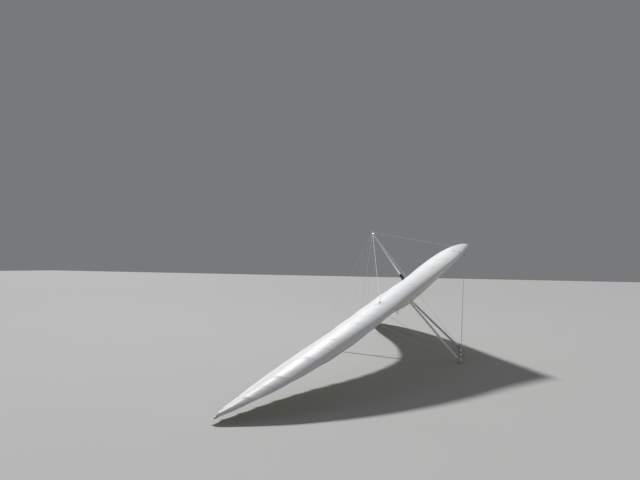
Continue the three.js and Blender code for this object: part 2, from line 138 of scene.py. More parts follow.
class Graph:
    """A material's node tree, built by expressions."""

    def __init__(self, name: str) -> None:
        """Makes an empty material of the given name.

        Args:
            name: The material's name.
        """
        self.material = bpy.data.materials.new(name)
        self.material.use_nodes = True
        self.tree = self.material.node_tree
        self.tree.nodes.clear()

    def node(self, kind: str, settings: dict | None = None, sockets: dict | None = None,
             output: int | str = 0) -> Sock:
        """Adds a node.

        Args:
            kind: The node's type.
            settings: Properties that are set first, by name.
            sockets: Values or links, by socket name or number.
            output: The output that is wanted.

        Returns:
            That output.
        """
        made = self.tree.nodes.new(kind)
        for name, value in (settings or {}).items():
            setattr(made, name, value)
        for name, value in (sockets or {}).items():
            self.feed(made.inputs[name], value)
        return Sock(self, made.outputs[output])

    def feed(self, target: bpy.types.NodeSocket, value: "Sock | float | tuple") -> None:
        """Links or sets one input socket.

        Args:
            target: The socket.
            value: What it takes.
        """
        if isinstance(value, Sock):
            self.tree.links.new(value.socket, target)
        elif isinstance(value, tuple) and target.type == "RGBA":
            target.default_value = (*value, 1.0)
        else:
            target.default_value = value

    def maths(self, operation: str, *values: "Sock | float") -> Sock:
        """Adds a Math node on one or two values."""
        return self.node("ShaderNodeMath", {"operation": operation}, dict(enumerate(values)))

    def eased(self, value: Sock, low: float, high: float) -> Sock:
        """A smooth step from 0 at low to 1 at high; low may be the larger."""
        sockets = {"Value": value, "From Min": low, "From Max": high}
        return self.node("ShaderNodeMapRange", {"interpolation_type": "SMOOTHSTEP"}, sockets)

    def line(self, value: Sock, at: float, half: float, soft: float) -> Sock:
        """A mask of 1 within half of a place, fading over soft."""
        return self.eased((value - at).size(), half + soft, half)

    def mix(self, share: "Sock | float", first: "Sock | Colour", second: "Sock | Colour") -> Sock:
        """Mixes two colours by a share."""
        return self.node("ShaderNodeMix", {"data_type": "RGBA"}, {0: share, 6: first, 7: second}, 2)

    def attribute(self, name: str, output: str = "Fac") -> Sock:
        """Reads what the mesh holds at each point."""
        return self.node("ShaderNodeAttribute", {"attribute_name": name}, output=output)

    def vector(self, x: Sock, y: Sock) -> Sock:
        """Joins two values into a vector whose Z is 0."""
        return self.node("ShaderNodeCombineXYZ", None, {0: x, 1: y})

    def split(self, vector: Sock) -> tuple[Sock, Sock, Sock]:
        """The three values of a vector.

        Args:
            vector: The vector.

        Returns:
            Its X, Y and Z.
        """
        first = self.node("ShaderNodeSeparateXYZ", None, {0: vector})
        outputs = first.socket.node.outputs
        return first, Sock(self, outputs[1]), Sock(self, outputs[2])

    def place(self) -> Sock:
        """Where the shaded point is, in metres."""
        return self.node("ShaderNodeTexCoord", output="Object")

    def stretched(self, vector: Sock, scale: Colour) -> Sock:
        """A vector scaled along each axis."""
        return self.node("ShaderNodeVectorMath", {"operation": "MULTIPLY"}, {0: vector, 1: scale})

    def noise(self, vector: Sock, scale: float, detail: float, rough: float = 0.55) -> Sock:
        """Smooth noise about one half."""
        sockets = {"Vector": vector, "Scale": scale, "Detail": detail, "Roughness": rough}
        return self.node("ShaderNodeTexNoise", None, sockets)

    def bump(self, height: Sock, distance: float, strength: float, under: Sock | None = None) -> Sock:
        """Tilts the surface by a height.

        Args:
            height: The height, from 0 to 1.
            distance: How many metres a height of 1 is.
            strength: How much of it shows.
            under: Another bump that this one lies on.

        Returns:
            The normal.
        """
        sockets: dict = {"Height": height, "Distance": distance, "Strength": strength}
        if under is not None:
            sockets["Normal"] = under
        return self.node("ShaderNodeBump", None, sockets)

    def surface(self, sockets: dict,
                glow: "tuple[Sock | float, Sock | Colour] | None" = None) -> bpy.types.Material:
        """Ends the graph in a Principled shader and gives its material.

        Args:
            sockets: Values or links of the shader, by socket name.
            glow: For cloth, the share of the light that shines through it, and its colour.

        Returns:
            The material.
        """
        shader = self.node("ShaderNodeBsdfPrincipled", None, sockets)
        if glow:
            through = self.node("ShaderNodeBsdfTranslucent", None, {"Color": glow[1]})
            shader = self.node("ShaderNodeMixShader", None, {0: glow[0], 1: shader, 2: through})
        output = self.tree.nodes.new("ShaderNodeOutputMaterial")
        self.feed(output.inputs["Surface"], shader)
        return self.material


# Finishes


@dataclass(frozen=True)
class Finish:
    """What a piece is made of.

    Attributes:
        name: The material's name.
        slot: The record's material slot, empty for the studio's own things; not used.
        colour: The main colour.
    """

    name: str
    slot: str
    colour: Colour

    @functools.cache
    def material(self) -> bpy.types.Material:
        """The finish's material, made once."""
        return self.make()

    def make(self) -> bpy.types.Material:
        """Builds the material."""
        return Graph(self.name).surface({"Base Color": self.colour})


@dataclass(frozen=True)
class SailCloth(Finish):
    """Woven polyester sailcloth with seams, batten pockets, hems and a warmer underside.

    Attributes:
        under: The colour of the lower cloth and of the upper cloth's inner side.
        tip: The colour of the laminate at the tips.
        seams: Distances from the keel of the seams between cloths.
        lead_seam: How far behind the leading edge the upper front cloth ends.
        under_seam: How far behind the leading edge it ends below.
        tip_from: How far from the keel the laminate at the tips starts.
        hem: The width of the trailing edge's folded hem.
        pocket: Half the width of a batten pocket.
    """

    under: Colour = (0.84, 0.825, 0.7)
    tip: Colour = (0.86, 0.855, 0.79)
    seams: tuple[float, ...] = (0.545, 1.405, 2.265, 3.105, 3.885, 4.55)
    lead_seam: float = 0.36
    under_seam: float = 0.13
    tip_from: float = 4.8
    hem: float = 0.045
    pocket: float = 0.0165

    def make(self) -> bpy.types.Material:
        """Builds the cloth from the sail's own distances.

        Returns:
            The material.
        """
        g = Graph(self.name)
        span, girth = g.attribute("span"), g.attribute("girth")
        bay, trail, inner = g.attribute("bay"), g.attribute("trail"), g.attribute("inner")
        spot = g.vector(span, girth)
        above = g.eased(girth, -0.002, 0.002)
        outside = 1 - inner
        front = g.eased(girth, self.lead_seam, self.lead_seam - 0.002)
        front = front * g.eased(girth, -self.under_seam, -self.under_seam + 0.002)
        pocket = g.eased(bay, self.pocket + 0.0008, self.pocket - 0.0008) * above * g.eased(girth, 0.05, 0.06)
        hem = g.eased(trail, self.hem, self.hem - 0.002) * above
        tip = g.eased(span, self.tip_from, self.tip_from + 0.003)

        stitch = self.stitches(g, bay, self.pocket - 0.002, girth) * above
        stitch = stitch.most(self.stitches(g, trail, self.hem - 0.004, span) * above)
        stitch = stitch.most(self.stitches(g, girth, self.lead_seam - 0.005, span))
        stitch = stitch.most(self.stitches(g, girth, -self.under_seam + 0.005, span))
        seam = self.edges(g, girth)
        for at in self.seams:
            seam = seam.most(g.line(span, at, 0.006, 0.001))
            stitch = stitch.most(self.stitches(g, span, at - 0.004, girth))
            stitch = stitch.most(self.stitches(g, span, at + 0.004, girth))

        cloth_tone = g.noise(g.stretched(spot, (0.9, 0.35, 1.0)), 2.0, 2.0)
        dust = g.eased(g.noise(spot, 6.0, 5.0, 0.7), 0.55, 0.8) * g.eased(girth.size(), 0.5, 0.0)
        top = g.mix(cloth_tone, (0.845, 0.85, 0.855), self.colour)
        colour = g.mix(above * outside, self.under, top)
        colour = g.mix(front * outside * 0.75, colour, (0.84, 0.84, 0.85))
        colour = g.mix(tip * outside * 0.6, colour, self.tip)
        colour = g.mix(pocket.most(hem) * 0.3, colour, (0.72, 0.72, 0.715))
        colour = g.mix(seam * 0.45, colour, (0.66, 0.66, 0.66))
        colour = g.mix(stitch * 0.5, colour, (0.42, 0.43, 0.45))
        colour = g.mix(dust * 0.12, colour, (0.5, 0.47, 0.4))

        weave = self.weave(g, span, girth)
        creases = g.noise(g.stretched(spot, (1.2, 5.0, 1.0)), 2.2, 3.0, 0.5)
        raised = pocket * 0.5 + seam * 0.5 + hem * 0.45 - stitch * 0.35
        normal = g.bump(creases, 0.012, 0.35)
        normal = g.bump(raised, 0.0012, 0.8, normal)
        normal = g.bump(weave, 0.00012, 0.5, normal)
        rough = 0.62 - front * 0.16 - tip * 0.1 + cloth_tone * 0.08 + stitch * 0.1
        sockets = {
            "Base Color": colour, "Roughness": rough, "Normal": normal,
            "Sheen Weight": 0.12, "Sheen Roughness": 0.5, "Specular IOR Level": 0.35,
        }
        return g.surface(sockets, (inner * 0.4 + 0.04, (0.9, 0.88, 0.76)))

    def edges(self, g: Graph, girth: Sock) -> Sock:
        """The laps of the front cloth, above and below."""
        upper = g.line(girth, self.lead_seam - 0.005, 0.007, 0.001)
        return upper.most(g.line(girth, -self.under_seam + 0.005, 0.007, 0.001))

    def stitches(self, g: Graph, across: Sock, at: float, along: Sock) -> Sock:
        """A row of stitches 4 mm long at a distance across the cloth."""
        dash = g.eased((along * 210.0).part(), 0.25, 0.35)
        return g.line(across, at, 0.0005, 0.0004) * dash

    def weave(self, g: Graph, span: Sock, girth: Sock) -> Sock:
        """The weave of warp and weft, about 1.4 mm to a repeat, with a heavier thread every 8 mm.

        Args:
            g: The material's graph.
            span: The distance along the span.
            girth: The distance round the section.

        Returns:
            The threads' height.
        """
        warp, weft = (span * 4500.0).sine(), (girth * 4500.0).sine()
        heavy = g.line((span * 125.0).part(), 0.5, 0.06, 0.04)
        heavy = heavy.most(g.line((girth * 125.0).part(), 0.5, 0.06, 0.04))
        return warp * weft * 0.35 + heavy * 0.5 + 0.5


@dataclass(frozen=True)
class TrimCloth(Finish):
    """Plain woven tape, patch or sleeve cloth.

    Attributes:
        rough: Its roughness.
        thread: How many threads to a metre.
    """

    rough: float = 0.6
    thread: float = 2600.0

    def make(self) -> bpy.types.Material:
        """Builds a fine weave with a little soiling.

        Returns:
            The material.
        """
        g = Graph(self.name)
        along, around, _ = g.split(g.attribute("grain", "Vector"))
        weave = (along * self.thread).sine() * (around * self.thread).sine() * 0.5 + 0.5
        soil = g.eased(g.noise(g.place(), 9.0, 5.0, 0.7), 0.5, 0.85)
        creases = g.noise(g.place(), 14.0, 2.0)
        colour = g.mix(soil * 0.25, self.colour, tuple(c * 0.7 for c in self.colour))
        normal = g.bump(weave, 0.0002, 0.5, g.bump(creases, 0.003, 0.4))
        return g.surface({
            "Base Color": colour, "Roughness": self.rough + soil * 0.1, "Normal": normal,
            "Sheen Weight": 0.1, "Specular IOR Level": 0.35,
        })


@dataclass(frozen=True)
class Anodised(Finish):
    """Drawn aluminium, clear anodised: fine lines along it, and dull rubs.

    Attributes:
        rough: Its roughness where it is clean.
    """

    rough: float = 0.3

    def make(self) -> bpy.types.Material:
        """Builds the metal from the grain along each tube.

        Returns:
            The material.
        """
        g = Graph(self.name)
        grain = g.attribute("grain", "Vector")
        drawn = g.noise(g.stretched(grain, (6.0, 900.0, 1.0)), 1.0, 2.0)
        rubs = g.eased(g.noise(g.stretched(grain, (9.0, 30.0, 1.0)), 1.0, 5.0, 0.7), 0.52, 0.8)
        scratches = g.eased(g.noise(g.stretched(grain, (60.0, 1400.0, 1.0)), 1.0, 1.0), 0.66, 0.72)
        colour = g.mix(rubs * 0.35, self.colour, tuple(c * 0.78 for c in self.colour))
        colour = g.mix(scratches * 0.3, colour, (0.9, 0.9, 0.92))
        rough = self.rough + drawn * 0.1 + rubs * 0.18
        normal = g.bump(drawn - scratches * 0.4, 0.00012, 0.35)
        return g.surface({"Base Color": colour, "Metallic": 0.65, "Roughness": rough, "Normal": normal})


@dataclass(frozen=True)
class Stainless(Finish):
    """Stamped or turned stainless steel.

    Attributes:
        rough: Its roughness.
    """

    rough: float = 0.26

    def make(self) -> bpy.types.Material:
        """Builds brushed steel with fine dirt.

        Returns:
            The material.
        """
        g = Graph(self.name)
        brushed = g.noise(g.stretched(g.place(), (90.0, 900.0, 900.0)), 1.0, 2.0)
        dirt = g.eased(g.noise(g.place(), 60.0, 4.0, 0.7), 0.5, 0.8)
        colour = g.mix(dirt * 0.4, self.colour, tuple(c * 0.55 for c in self.colour))
        rough = self.rough + brushed * 0.12 + dirt * 0.2
        normal = g.bump(brushed, 0.0001, 0.5)
        return g.surface({"Base Color": colour, "Metallic": 1.0, "Roughness": rough, "Normal": normal})


@dataclass(frozen=True)
class WireRope(Finish):
    """Stranded stay wire in a clear sleeve: the strands wind along it.

    Attributes:
        lay: How many metres a strand takes to wind once.
        strands: How many strands lie round it.
        girth: The distance round the wire.
    """

    lay: float = 0.022
    strands: float = 6.0
    girth: float = 0.0126

    def make(self) -> bpy.types.Material:
        """Builds the strands from the grain along and around the wire, with painted shade in the grooves
        between them.

        Returns:
            The material.
        """
        g = Graph(self.name)
        along, around, _ = g.split(g.attribute("grain", "Vector"))
        whole = 2 * math.pi * self.strands
        turn = around * (whole / self.girth) + along * (whole / self.lay)
        strand = turn.sine() * 0.5 + 0.5
        # Painted shade: the colour darkens to 0.86 in the grooves between strands, where the bump is lowest.
        colour = g.mix(strand, tuple(c * 0.86 for c in self.colour), self.colour)
        return g.surface({
            "Base Color": colour, "Metallic": 0.1, "Roughness": 0.5 + strand * 0.06,
            "Normal": g.bump(strand, 0.0002, 0.25), "Coat Weight": 0.15, "Coat Roughness": 0.4,
        })


@dataclass(frozen=True)
class Moulded(Finish):
    """Moulded plastic or rubber with a fine grain and scuffs.

    Attributes:
        rough: Its roughness.
        grain: How coarse its surface is, in metres.
    """

    rough: float = 0.45
    grain: float = 0.0008

    def make(self) -> bpy.types.Material:
        """Builds the moulding's grain, tone and scuffs.

        Returns:
            The material.
        """
        g = Graph(self.name)
        fine = g.noise(g.place(), 1 / self.grain, 2.0)
        scuff = g.eased(g.noise(g.place(), 35.0, 6.0, 0.75), 0.56, 0.74)
        lighter = tuple(min(1.0, c * 1.4 + 0.05) for c in self.colour)
        colour = g.mix(scuff * 0.5, self.colour, lighter)
        return g.surface({
            "Base Color": colour, "Roughness": self.rough + scuff * 0.2 + fine * 0.06,
            "Normal": g.bump(fine, 0.00012, 0.6, g.bump(scuff, 0.0002, 0.5)),
        })


@dataclass(frozen=True)
class Webbing(Finish):
    """Woven webbing: ribs across it and a herringbone along it.

    Attributes:
        rib: How many metres apart the ribs are.
    """

    rib: float = 0.0016

    def make(self) -> bpy.types.Material:
        """Builds the weave from the grain along and across the strap, with painted shade in the hollows
        between ribs.

        Returns:
            The material.
        """
        g = Graph(self.name)
        along, around, _ = g.split(g.attribute("grain", "Vector"))
        turn = 2 * math.pi / self.rib
        ribs = ((along * turn) + (around * turn).sine() * 1.2).sine() * 0.5 + 0.5
        cords = (around * turn * 1.5).sine() * 0.5 + 0.5
        wear = g.eased(g.noise(g.place(), 45.0, 5.0, 0.7), 0.5, 0.8)
        # Painted shade: the colour darkens to half in the hollows between ribs, where the bump is lowest.
        colour = g.mix(ribs * 0.6, tuple(c * 0.5 for c in self.colour), self.colour)
        colour = g.mix(wear * 0.3, colour, (0.12, 0.12, 0.13))
        return g.surface({
            "Base Color": colour, "Roughness": 0.78 + wear * 0.1,
            "Normal": g.bump(ribs * 0.6 + cords * 0.4, 0.0005, 0.9),
            "Sheen Weight": 0.35, "Sheen Roughness": 0.4,
        })


@dataclass(frozen=True)
class PaleFloor(Finish):
    """A plain pale studio floor."""

    def make(self) -> bpy.types.Material:
        """Builds a matt floor with the faintest mottle.

        Returns:
            The material.
        """
        g = Graph(self.name)
        mottle = g.noise(g.place(), 0.7, 3.0)
        colour = g.mix(mottle, tuple(c * 0.97 for c in self.colour), self.colour)
        return g.surface({"Base Color": colour, "Roughness": 0.85, "Specular IOR Level": 0.2})


SAIL = SailCloth("sailcloth", "sailcloth", (0.85, 0.85, 0.85))
CONE = TrimCloth("nose_cone_film", "cone_cloth", (0.83, 0.83, 0.835), 0.38, 900.0)
TAPE = TrimCloth("sail_tape", "sailcloth", (0.86, 0.86, 0.855), 0.5)
PATCH = TrimCloth("sail_patch", "cone_cloth", (0.74, 0.74, 0.74), 0.6, 1400.0)
POCKET = TrimCloth("keel_pocket_cloth", "sailcloth", (0.82, 0.81, 0.78), 0.6)
ZIP = Moulded("zip_teeth", "black_plastic", (0.09, 0.09, 0.095), 0.5, 0.0015)
TUBE = Anodised("anodised_tube", "tube_aluminium", (0.88, 0.885, 0.9), 0.38)
PLATE = Anodised("milled_plate", "tube_aluminium", (0.72, 0.73, 0.75), 0.36)
CAST = Anodised("cast_corner", "tube_aluminium", (0.58, 0.59, 0.61), 0.45)
STEEL = Stainless("stainless", "stay_steel", (0.66, 0.67, 0.69))
WIRE = WireRope("stay_wire", "stay_steel", (0.84, 0.85, 0.86))
BLACK = Moulded("black_moulding", "black_plastic", (0.022, 0.022, 0.024))
WHITE = Moulded("white_moulding", "white_plastic", (0.78, 0.78, 0.77), 0.45)
RUBBER = Moulded("black_rubber", "black_plastic", (0.018, 0.018, 0.019), 0.65, 0.0015)
CREAM = Moulded("cream_moulding", "cream_plastic", (0.82, 0.78, 0.6), 0.5)
STRAP = Webbing("black_webbing", "webbing", (0.035, 0.035, 0.04))
THREAD = TrimCloth("bar_tack_thread", "webbing", (0.3, 0.3, 0.33), 0.7)
LINE = TrimCloth("bridle_line", "webbing", (0.55, 0.56, 0.6), 0.6)
FLOOR = PaleFloor("studio_floor", "", (0.47, 0.47, 0.46))


# The glider's frame


@dataclass(frozen=True)
class Rig:
    """Where the glider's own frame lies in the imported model.

    Attributes:
        strap_back: How far behind the nose the hang strap is, along the keel.
    """

    strap_back: float = 1.56

    @property
    def pitch(self) -> float:
        """How far the nose is pitched up, from the axis that the strap rolls about."""
        axis = frame["joints"][0]["axis"]
        return math.atan2(axis[2], axis[0])

    @property
    def nose(self) -> Vector:
        """The nose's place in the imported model."""
        joint = frame["joints"][0]
        return Vector(joint["pos_m"]) + Vector(joint["axis"]).normalized() * self.strap_back

    @property
    def matrix(self) -> Matrix:
        """Carries a point of the glider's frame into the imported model."""
        return Matrix.Translation(self.nose) @ Matrix.Rotation(-self.pitch, 4, "Y")


RIG = Rig()


# Meshes


def circle(radius: float, sides: int) -> list[Pair]:
    """A round outline."""
    turns = [2 * math.pi * i / sides for i in range(sides)]
    return [(radius * math.cos(t), radius * math.sin(t)) for t in turns]


def faired(chord: float, thickness: float, steps: int) -> list[Pair]:
    """A streamlined tube's outline: an elliptical nose forward and a tapered tail aft.

    Args:
        chord: Its length, front to rear.
        thickness: Its width.
        steps: How many pieces each curve has.

    Returns:
        The outline's points.
    """
    nose = chord * 0.4
    centre = chord / 2 - nose
    turns = [-math.pi / 2 + math.pi * i / steps for i in range(steps + 1)]
    front = [(centre + nose * math.cos(t), thickness / 2 * math.sin(t)) for t in turns]
    start, bend, end = (centre, thickness / 2), (-chord * 0.3, thickness / 2), (-chord / 2, thickness * 0.1)
    tail = [tuple((1 - t) ** 2 * a + 2 * t * (1 - t) * b + t * t * c for a, b, c in zip(start, bend, end))
            for t in ((i + 1) / steps for i in range(steps))]
    return front + tail + [(x, -y) for x, y in reversed(tail)]


def slab(width: float, height: float, corner: float, steps: int = 4) -> list[Pair]:
    """A rectangle with round corners.

    Args:
        width: Its width.
        height: Its height.
        corner: The corners' radius.
        steps: How many pieces a corner has.

    Returns:
        The outline's points.
    """
    points = []
    for turn, (x, y) in enumerate(((1, 1), (-1, 1), (-1, -1), (1, -1))):
        for i in range(steps + 1):
            t = math.pi / 2 * (turn + i / steps)
            across, up = x * (width / 2 - corner), y * (height / 2 - corner)
            points.append((across + corner * math.cos(t), up + corner * math.sin(t)))
    return points


class Shape:
    """Gathers rings of points into one mesh, with the distance along and around kept as its grain."""

    def __init__(self) -> None:
        """Starts an empty shape."""
        self.points: list[Vector] = []
        self.faces: list[Face] = []
        self.grain: list[tuple[float, float, float]] = []

    def rings(self, rings: Sequence[Sequence[Vector]], caps: bool = True, loop: bool = False) -> "Shape":
        """Joins rings of points with faces.

        Args:
            rings: The rings, each with as many points.
            caps: Whether the first and the last ring are filled.
            loop: Whether the last ring joins the first.

        Returns:
            This shape.
        """
        base, count = len(self.points), len(rings[0])
        along = 0.0
        for number, ring in enumerate(rings):
            if number:
                along += (centre_of(ring) - centre_of(rings[number - 1])).length
            around = 0.0
            for i, point in enumerate(ring):
                around += (point - ring[i - 1]).length if i else 0.0
                self.points.append(point)
                self.grain.append((along, around, 0.0))
        last = len(rings) if loop else len(rings) - 1
        for j in range(last):
            here, there = base + j * count, base + (j + 1) % len(rings) * count
            for i in range(count):
                k = (i + 1) % count
                self.faces.append((here + i, here + k, there + k, there + i))
        if caps:
            self.faces.append(tuple(base + i for i in reversed(range(count))))
            self.faces.append(tuple(base + (len(rings) - 1) * count + i for i in range(count)))
        return self

    def sweep(self, outline: Outline, path: Sequence[Vector], hint: Vector,
              scales: Sequence[float] | None = None, loop: bool = False) -> "Shape":
        """Carries an outline along a path.

        Args:
            outline: The outline's points, across the path.
            path: The path's points.
            hint: The way that the outline's X points, as near as the path lets it.
            scales: The outline's size at each point of the path.
            loop: Whether the path closes on itself.

        Returns:
            This shape.
        """
        rings = []
        for i, spot in enumerate(path):
            before = path[i - 1] if i or loop else spot
            after = path[(i + 1) % len(path)] if i + 1 < len(path) or loop else spot
            along = (after - before).normalized()
            across = (hint - along * hint.dot(along)).normalized()
            up = along.cross(across)
            scale = scales[i] if scales else 1.0
            rings.append([spot + (across * x + up * y) * scale for x, y in outline])
        return self.rings(rings, loop=loop, caps=not loop)

    def turned(self, profile: Outline, origin: Vector, direction: Vector, sides: int) -> "Shape":
        """Turns a profile of (distance, radius) pairs about an axis.

        Args:
            profile: The pairs.
            origin: Where the distance is 0.
            direction: The axis's way.
            sides: How many sides it has.

        Returns:
            This shape.
        """
        axis = direction.normalized()
        across = axis.orthogonal().normalized()
        up = axis.cross(across)
        rings = []
        for distance, radius in profile:
            outline = circle(max(radius, 1e-5), sides)
            rings.append([origin + axis * distance + (across * x + up * y) for x, y in outline])
        return self.rings(rings)

    def rod(self, start: Vector, end: Vector, radius: float, sides: int, edge: float = 0.0) -> "Shape":
        """A straight round bar with a small round to its ends.

        Args:
            start: One end.
            end: The other end.
            radius: Its radius.
            sides: How many sides it has.
            edge: How far its ends are rounded.

        Returns:
            This shape.
        """
        length = (end - start).length
        edge = min(edge, radius, length / 2)
        profile = [
            (0.0, radius - edge), (edge * 0.3, radius - edge * 0.3), (edge, radius),
            (length - edge, radius), (length - edge * 0.3, radius - edge * 0.3), (length, radius - edge),
        ]
        return self.turned(profile if edge else [(0.0, radius), (length, radius)], start, end - start, sides)

    def plate(self, outline: Outline, centre: Vector, across: Vector, up: Vector,
              thickness: float, edge: float = 0.0008) -> "Shape":
        """A flat plate with eased edges, centred on a point, its outline lying along two directions.

        Args:
            outline: The outline's points.
            centre: The point.
            across: The way of the outline's X.
            up: The way of its Y.
            thickness: The plate's thickness.
            edge: How far its edges are eased.

        Returns:
            This shape.
        """
        across, up = across.normalized(), up.normalized()
        normal = across.cross(up)
        reach = max(max(abs(x), abs(y)) for x, y in outline)
        half, eased_size = thickness / 2, 1 - edge / reach
        rings = []
        for d, s in ((-half, eased_size), (-half + edge, 1.0), (half - edge, 1.0), (half, eased_size)):
            rings.append([centre + normal * d + (across * x + up * y) * s for x, y in outline])
        return self.rings(rings)

    def bolt(self, head: Vector, direction: Vector, across_flats: float) -> None:
        """A hexagon head on a washer, whose bearing face is at a point and which stands along a direction.

        Args:
            head: The point.
            direction: The direction.
            across_flats: The head's width.
        """
        radius = across_flats / math.sqrt(3)
        washer = [(0.0, radius * 1.25), (0.0012, radius * 1.25), (0.0014, radius * 1.2)]
        self.turned(washer, head, direction, 24)
        self.turned([(0.0012, radius), (0.0062, radius), (0.0074, radius * 0.85)], head, direction, 6)

    def build(self, name: str, finish: Finish, body: str = AIRFRAME, stands_for: Sequence[str] = (),
              carried: Matrix | None = None, sharp: float = 38.0) -> None:
        """Makes the piece.

        Args:
            name: The piece's name.
            finish: What it is made of.
            body: The body that it rides on.
            stands_for: The nodes that it replaces.
            carried: Where the shape's frame lies, if not the glider's own.
            sharp: The angle in degrees past which an edge stays sharp.
        """
        mesh = plain_mesh(name, self.points, self.faces)
        set_grain(mesh, self.grain)
        mesh.transform(RIG.matrix if carried is None else carried)
        dressed(mesh, name, finish, body, stands_for, sharp)


def placed(name: str, data: bpy.types.ID) -> bpy.types.Object:
    """A new object of the scene, for a mesh, a lamp or a camera.

    Args:
        name: Its name.
        data: What it holds.

    Returns:
        The object.
    """
    made = bpy.data.objects.new(name, data)
    bpy.context.scene.collection.objects.link(made)
    return made


def plain_mesh(name: str, points: Sequence[Vector], faces: Sequence[Face]) -> bpy.types.Mesh:
    """A new mesh of points and faces.

    Args:
        name: Its name.
        points: The points.
        faces: The faces, as the points' numbers.

    Returns:
        The mesh.
    """
    mesh = bpy.data.meshes.new(name)
    mesh.from_pydata([tuple(p) for p in points], [], faces)
    return mesh


def set_grain(mesh: bpy.types.Mesh, spots: Sequence[tuple[float, float, float]]) -> None:
    """Stores the distance along and around a piece at each point."""
    grain = mesh.attributes.new("grain", "FLOAT_VECTOR", "POINT")
    grain.data.foreach_set("vector", [value for spot in spots for value in spot])


def beside(way: Vector) -> Vector:
    """A direction square to a stay's way."""
    return way.cross(FORWARD if abs(way.x) < 0.8 else LEFTWARD).normalized()


def square_to(down: Vector) -> tuple[Vector, Vector]:
    """The forward and sideways directions across a downtube."""
    forward = (FORWARD - down * down.x).normalized()
    return forward, down.cross(forward).normalized()


def centre_of(points: Sequence[Vector]) -> Vector:
    """The mean of some points."""
    return sum(points, Vector()) / len(points)


def dressed(mesh: bpy.types.Mesh, name: str, finish: Finish, body: str, stands_for: Sequence[str],
            sharp: float) -> bpy.types.Object:
    """Turns a mesh into a piece that rides on a body.

    Args:
        mesh: The mesh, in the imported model's frame.
        name: The piece's name.
        finish: What it is made of.
        body: The body that it rides on.
        stands_for: The nodes that it replaces.
        sharp: The angle in degrees past which an edge stays sharp.

    Returns:
        The piece.
    """
    mesh.validate()
    mesh.shade_smooth()
    mesh.set_sharp_from_angle(angle=math.radians(sharp))
    mesh.materials.append(finish.material())
    piece = placed(name, mesh)
    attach(piece, body)
    if stands_for:
        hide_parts(*stands_for)
    log.info("%s: %d faces", name, len(mesh.polygons))
    return piece


def thin_cloth(rows: Sequence[Sequence[Vector]], thickness: float,
               flip: bool) -> tuple[list[Vector], list[Face]]:
    """Gives a grid of points an inner layer and a rim.

    Args:
        rows: The outer layer's points.
        thickness: How far inside the inner layer lies.
        flip: Whether the inner layer lies on the other side.

    Returns:
        The points, outer layer first, and the faces.
    """
    count, width = len(rows), len(rows[0])
    inner = []
    for j in range(count):
        for i in range(width):
            along = rows[j][min(i + 1, width - 1)] - rows[j][max(i - 1, 0)]
            across = rows[min(j + 1, count - 1)][i] - rows[max(j - 1, 0)][i]
            normal = along.cross(across).normalized()
            inner.append(rows[j][i] + normal * (-thickness if flip else thickness))
    layer = count * width
    faces = []
    for j in range(count - 1):
        for i in range(width - 1):
            a, b = j * width + i, (j + 1) * width + i
            faces += [(a, a + 1, b + 1, b), (layer + a, layer + b, layer + b + 1, layer + a + 1)]
    rim = [j * width for j in range(count)] + [(count - 1) * width + i for i in range(1, width)]
    rim += [j * width + width - 1 for j in range(count - 2, -1, -1)] + list(range(width - 2, 0, -1))
    for a, b in zip(rim, rim[1:] + rim[:1]):
        faces.append((a, b, layer + b, layer + a))
    if flip:
        faces = [tuple(reversed(face)) for face in faces]
    return [p for row in rows for p in row] + inner, faces


# The sail


@dataclass(frozen=True)
class Station:
    """One section of the wing, in metres and degrees.

    Attributes:
        away: Its distance from the keel.
        lead: The x of the leading edge.
        trail: The x of the trailing edge.
        drop: The z of the leading edge.
        twist: How far the trailing edge is turned up.
        crown: How far the upper cloth stands off the chord line.
        belly: How far the lower cloth stands off it.
        sharp: How sharp the leading edge is, from 0.5 for a round one to 1 for a wedge.
    """

    away: float
    lead: float
    trail: float
    drop: float
    twist: float
    crown: float
    belly: float
    sharp: float

    @property
    def chord(self) -> float:
        """The distance from the leading edge to the trailing edge, along the keel."""
        return self.lead - self.trail


def eased(low: float, high: float, value: float) -> float:
    """A smooth step from 0 at low to 1 at high."""
    share = min(max((value - low) / (high - low), 0.0), 1.0)
    return share * share * (3 - 2 * share)


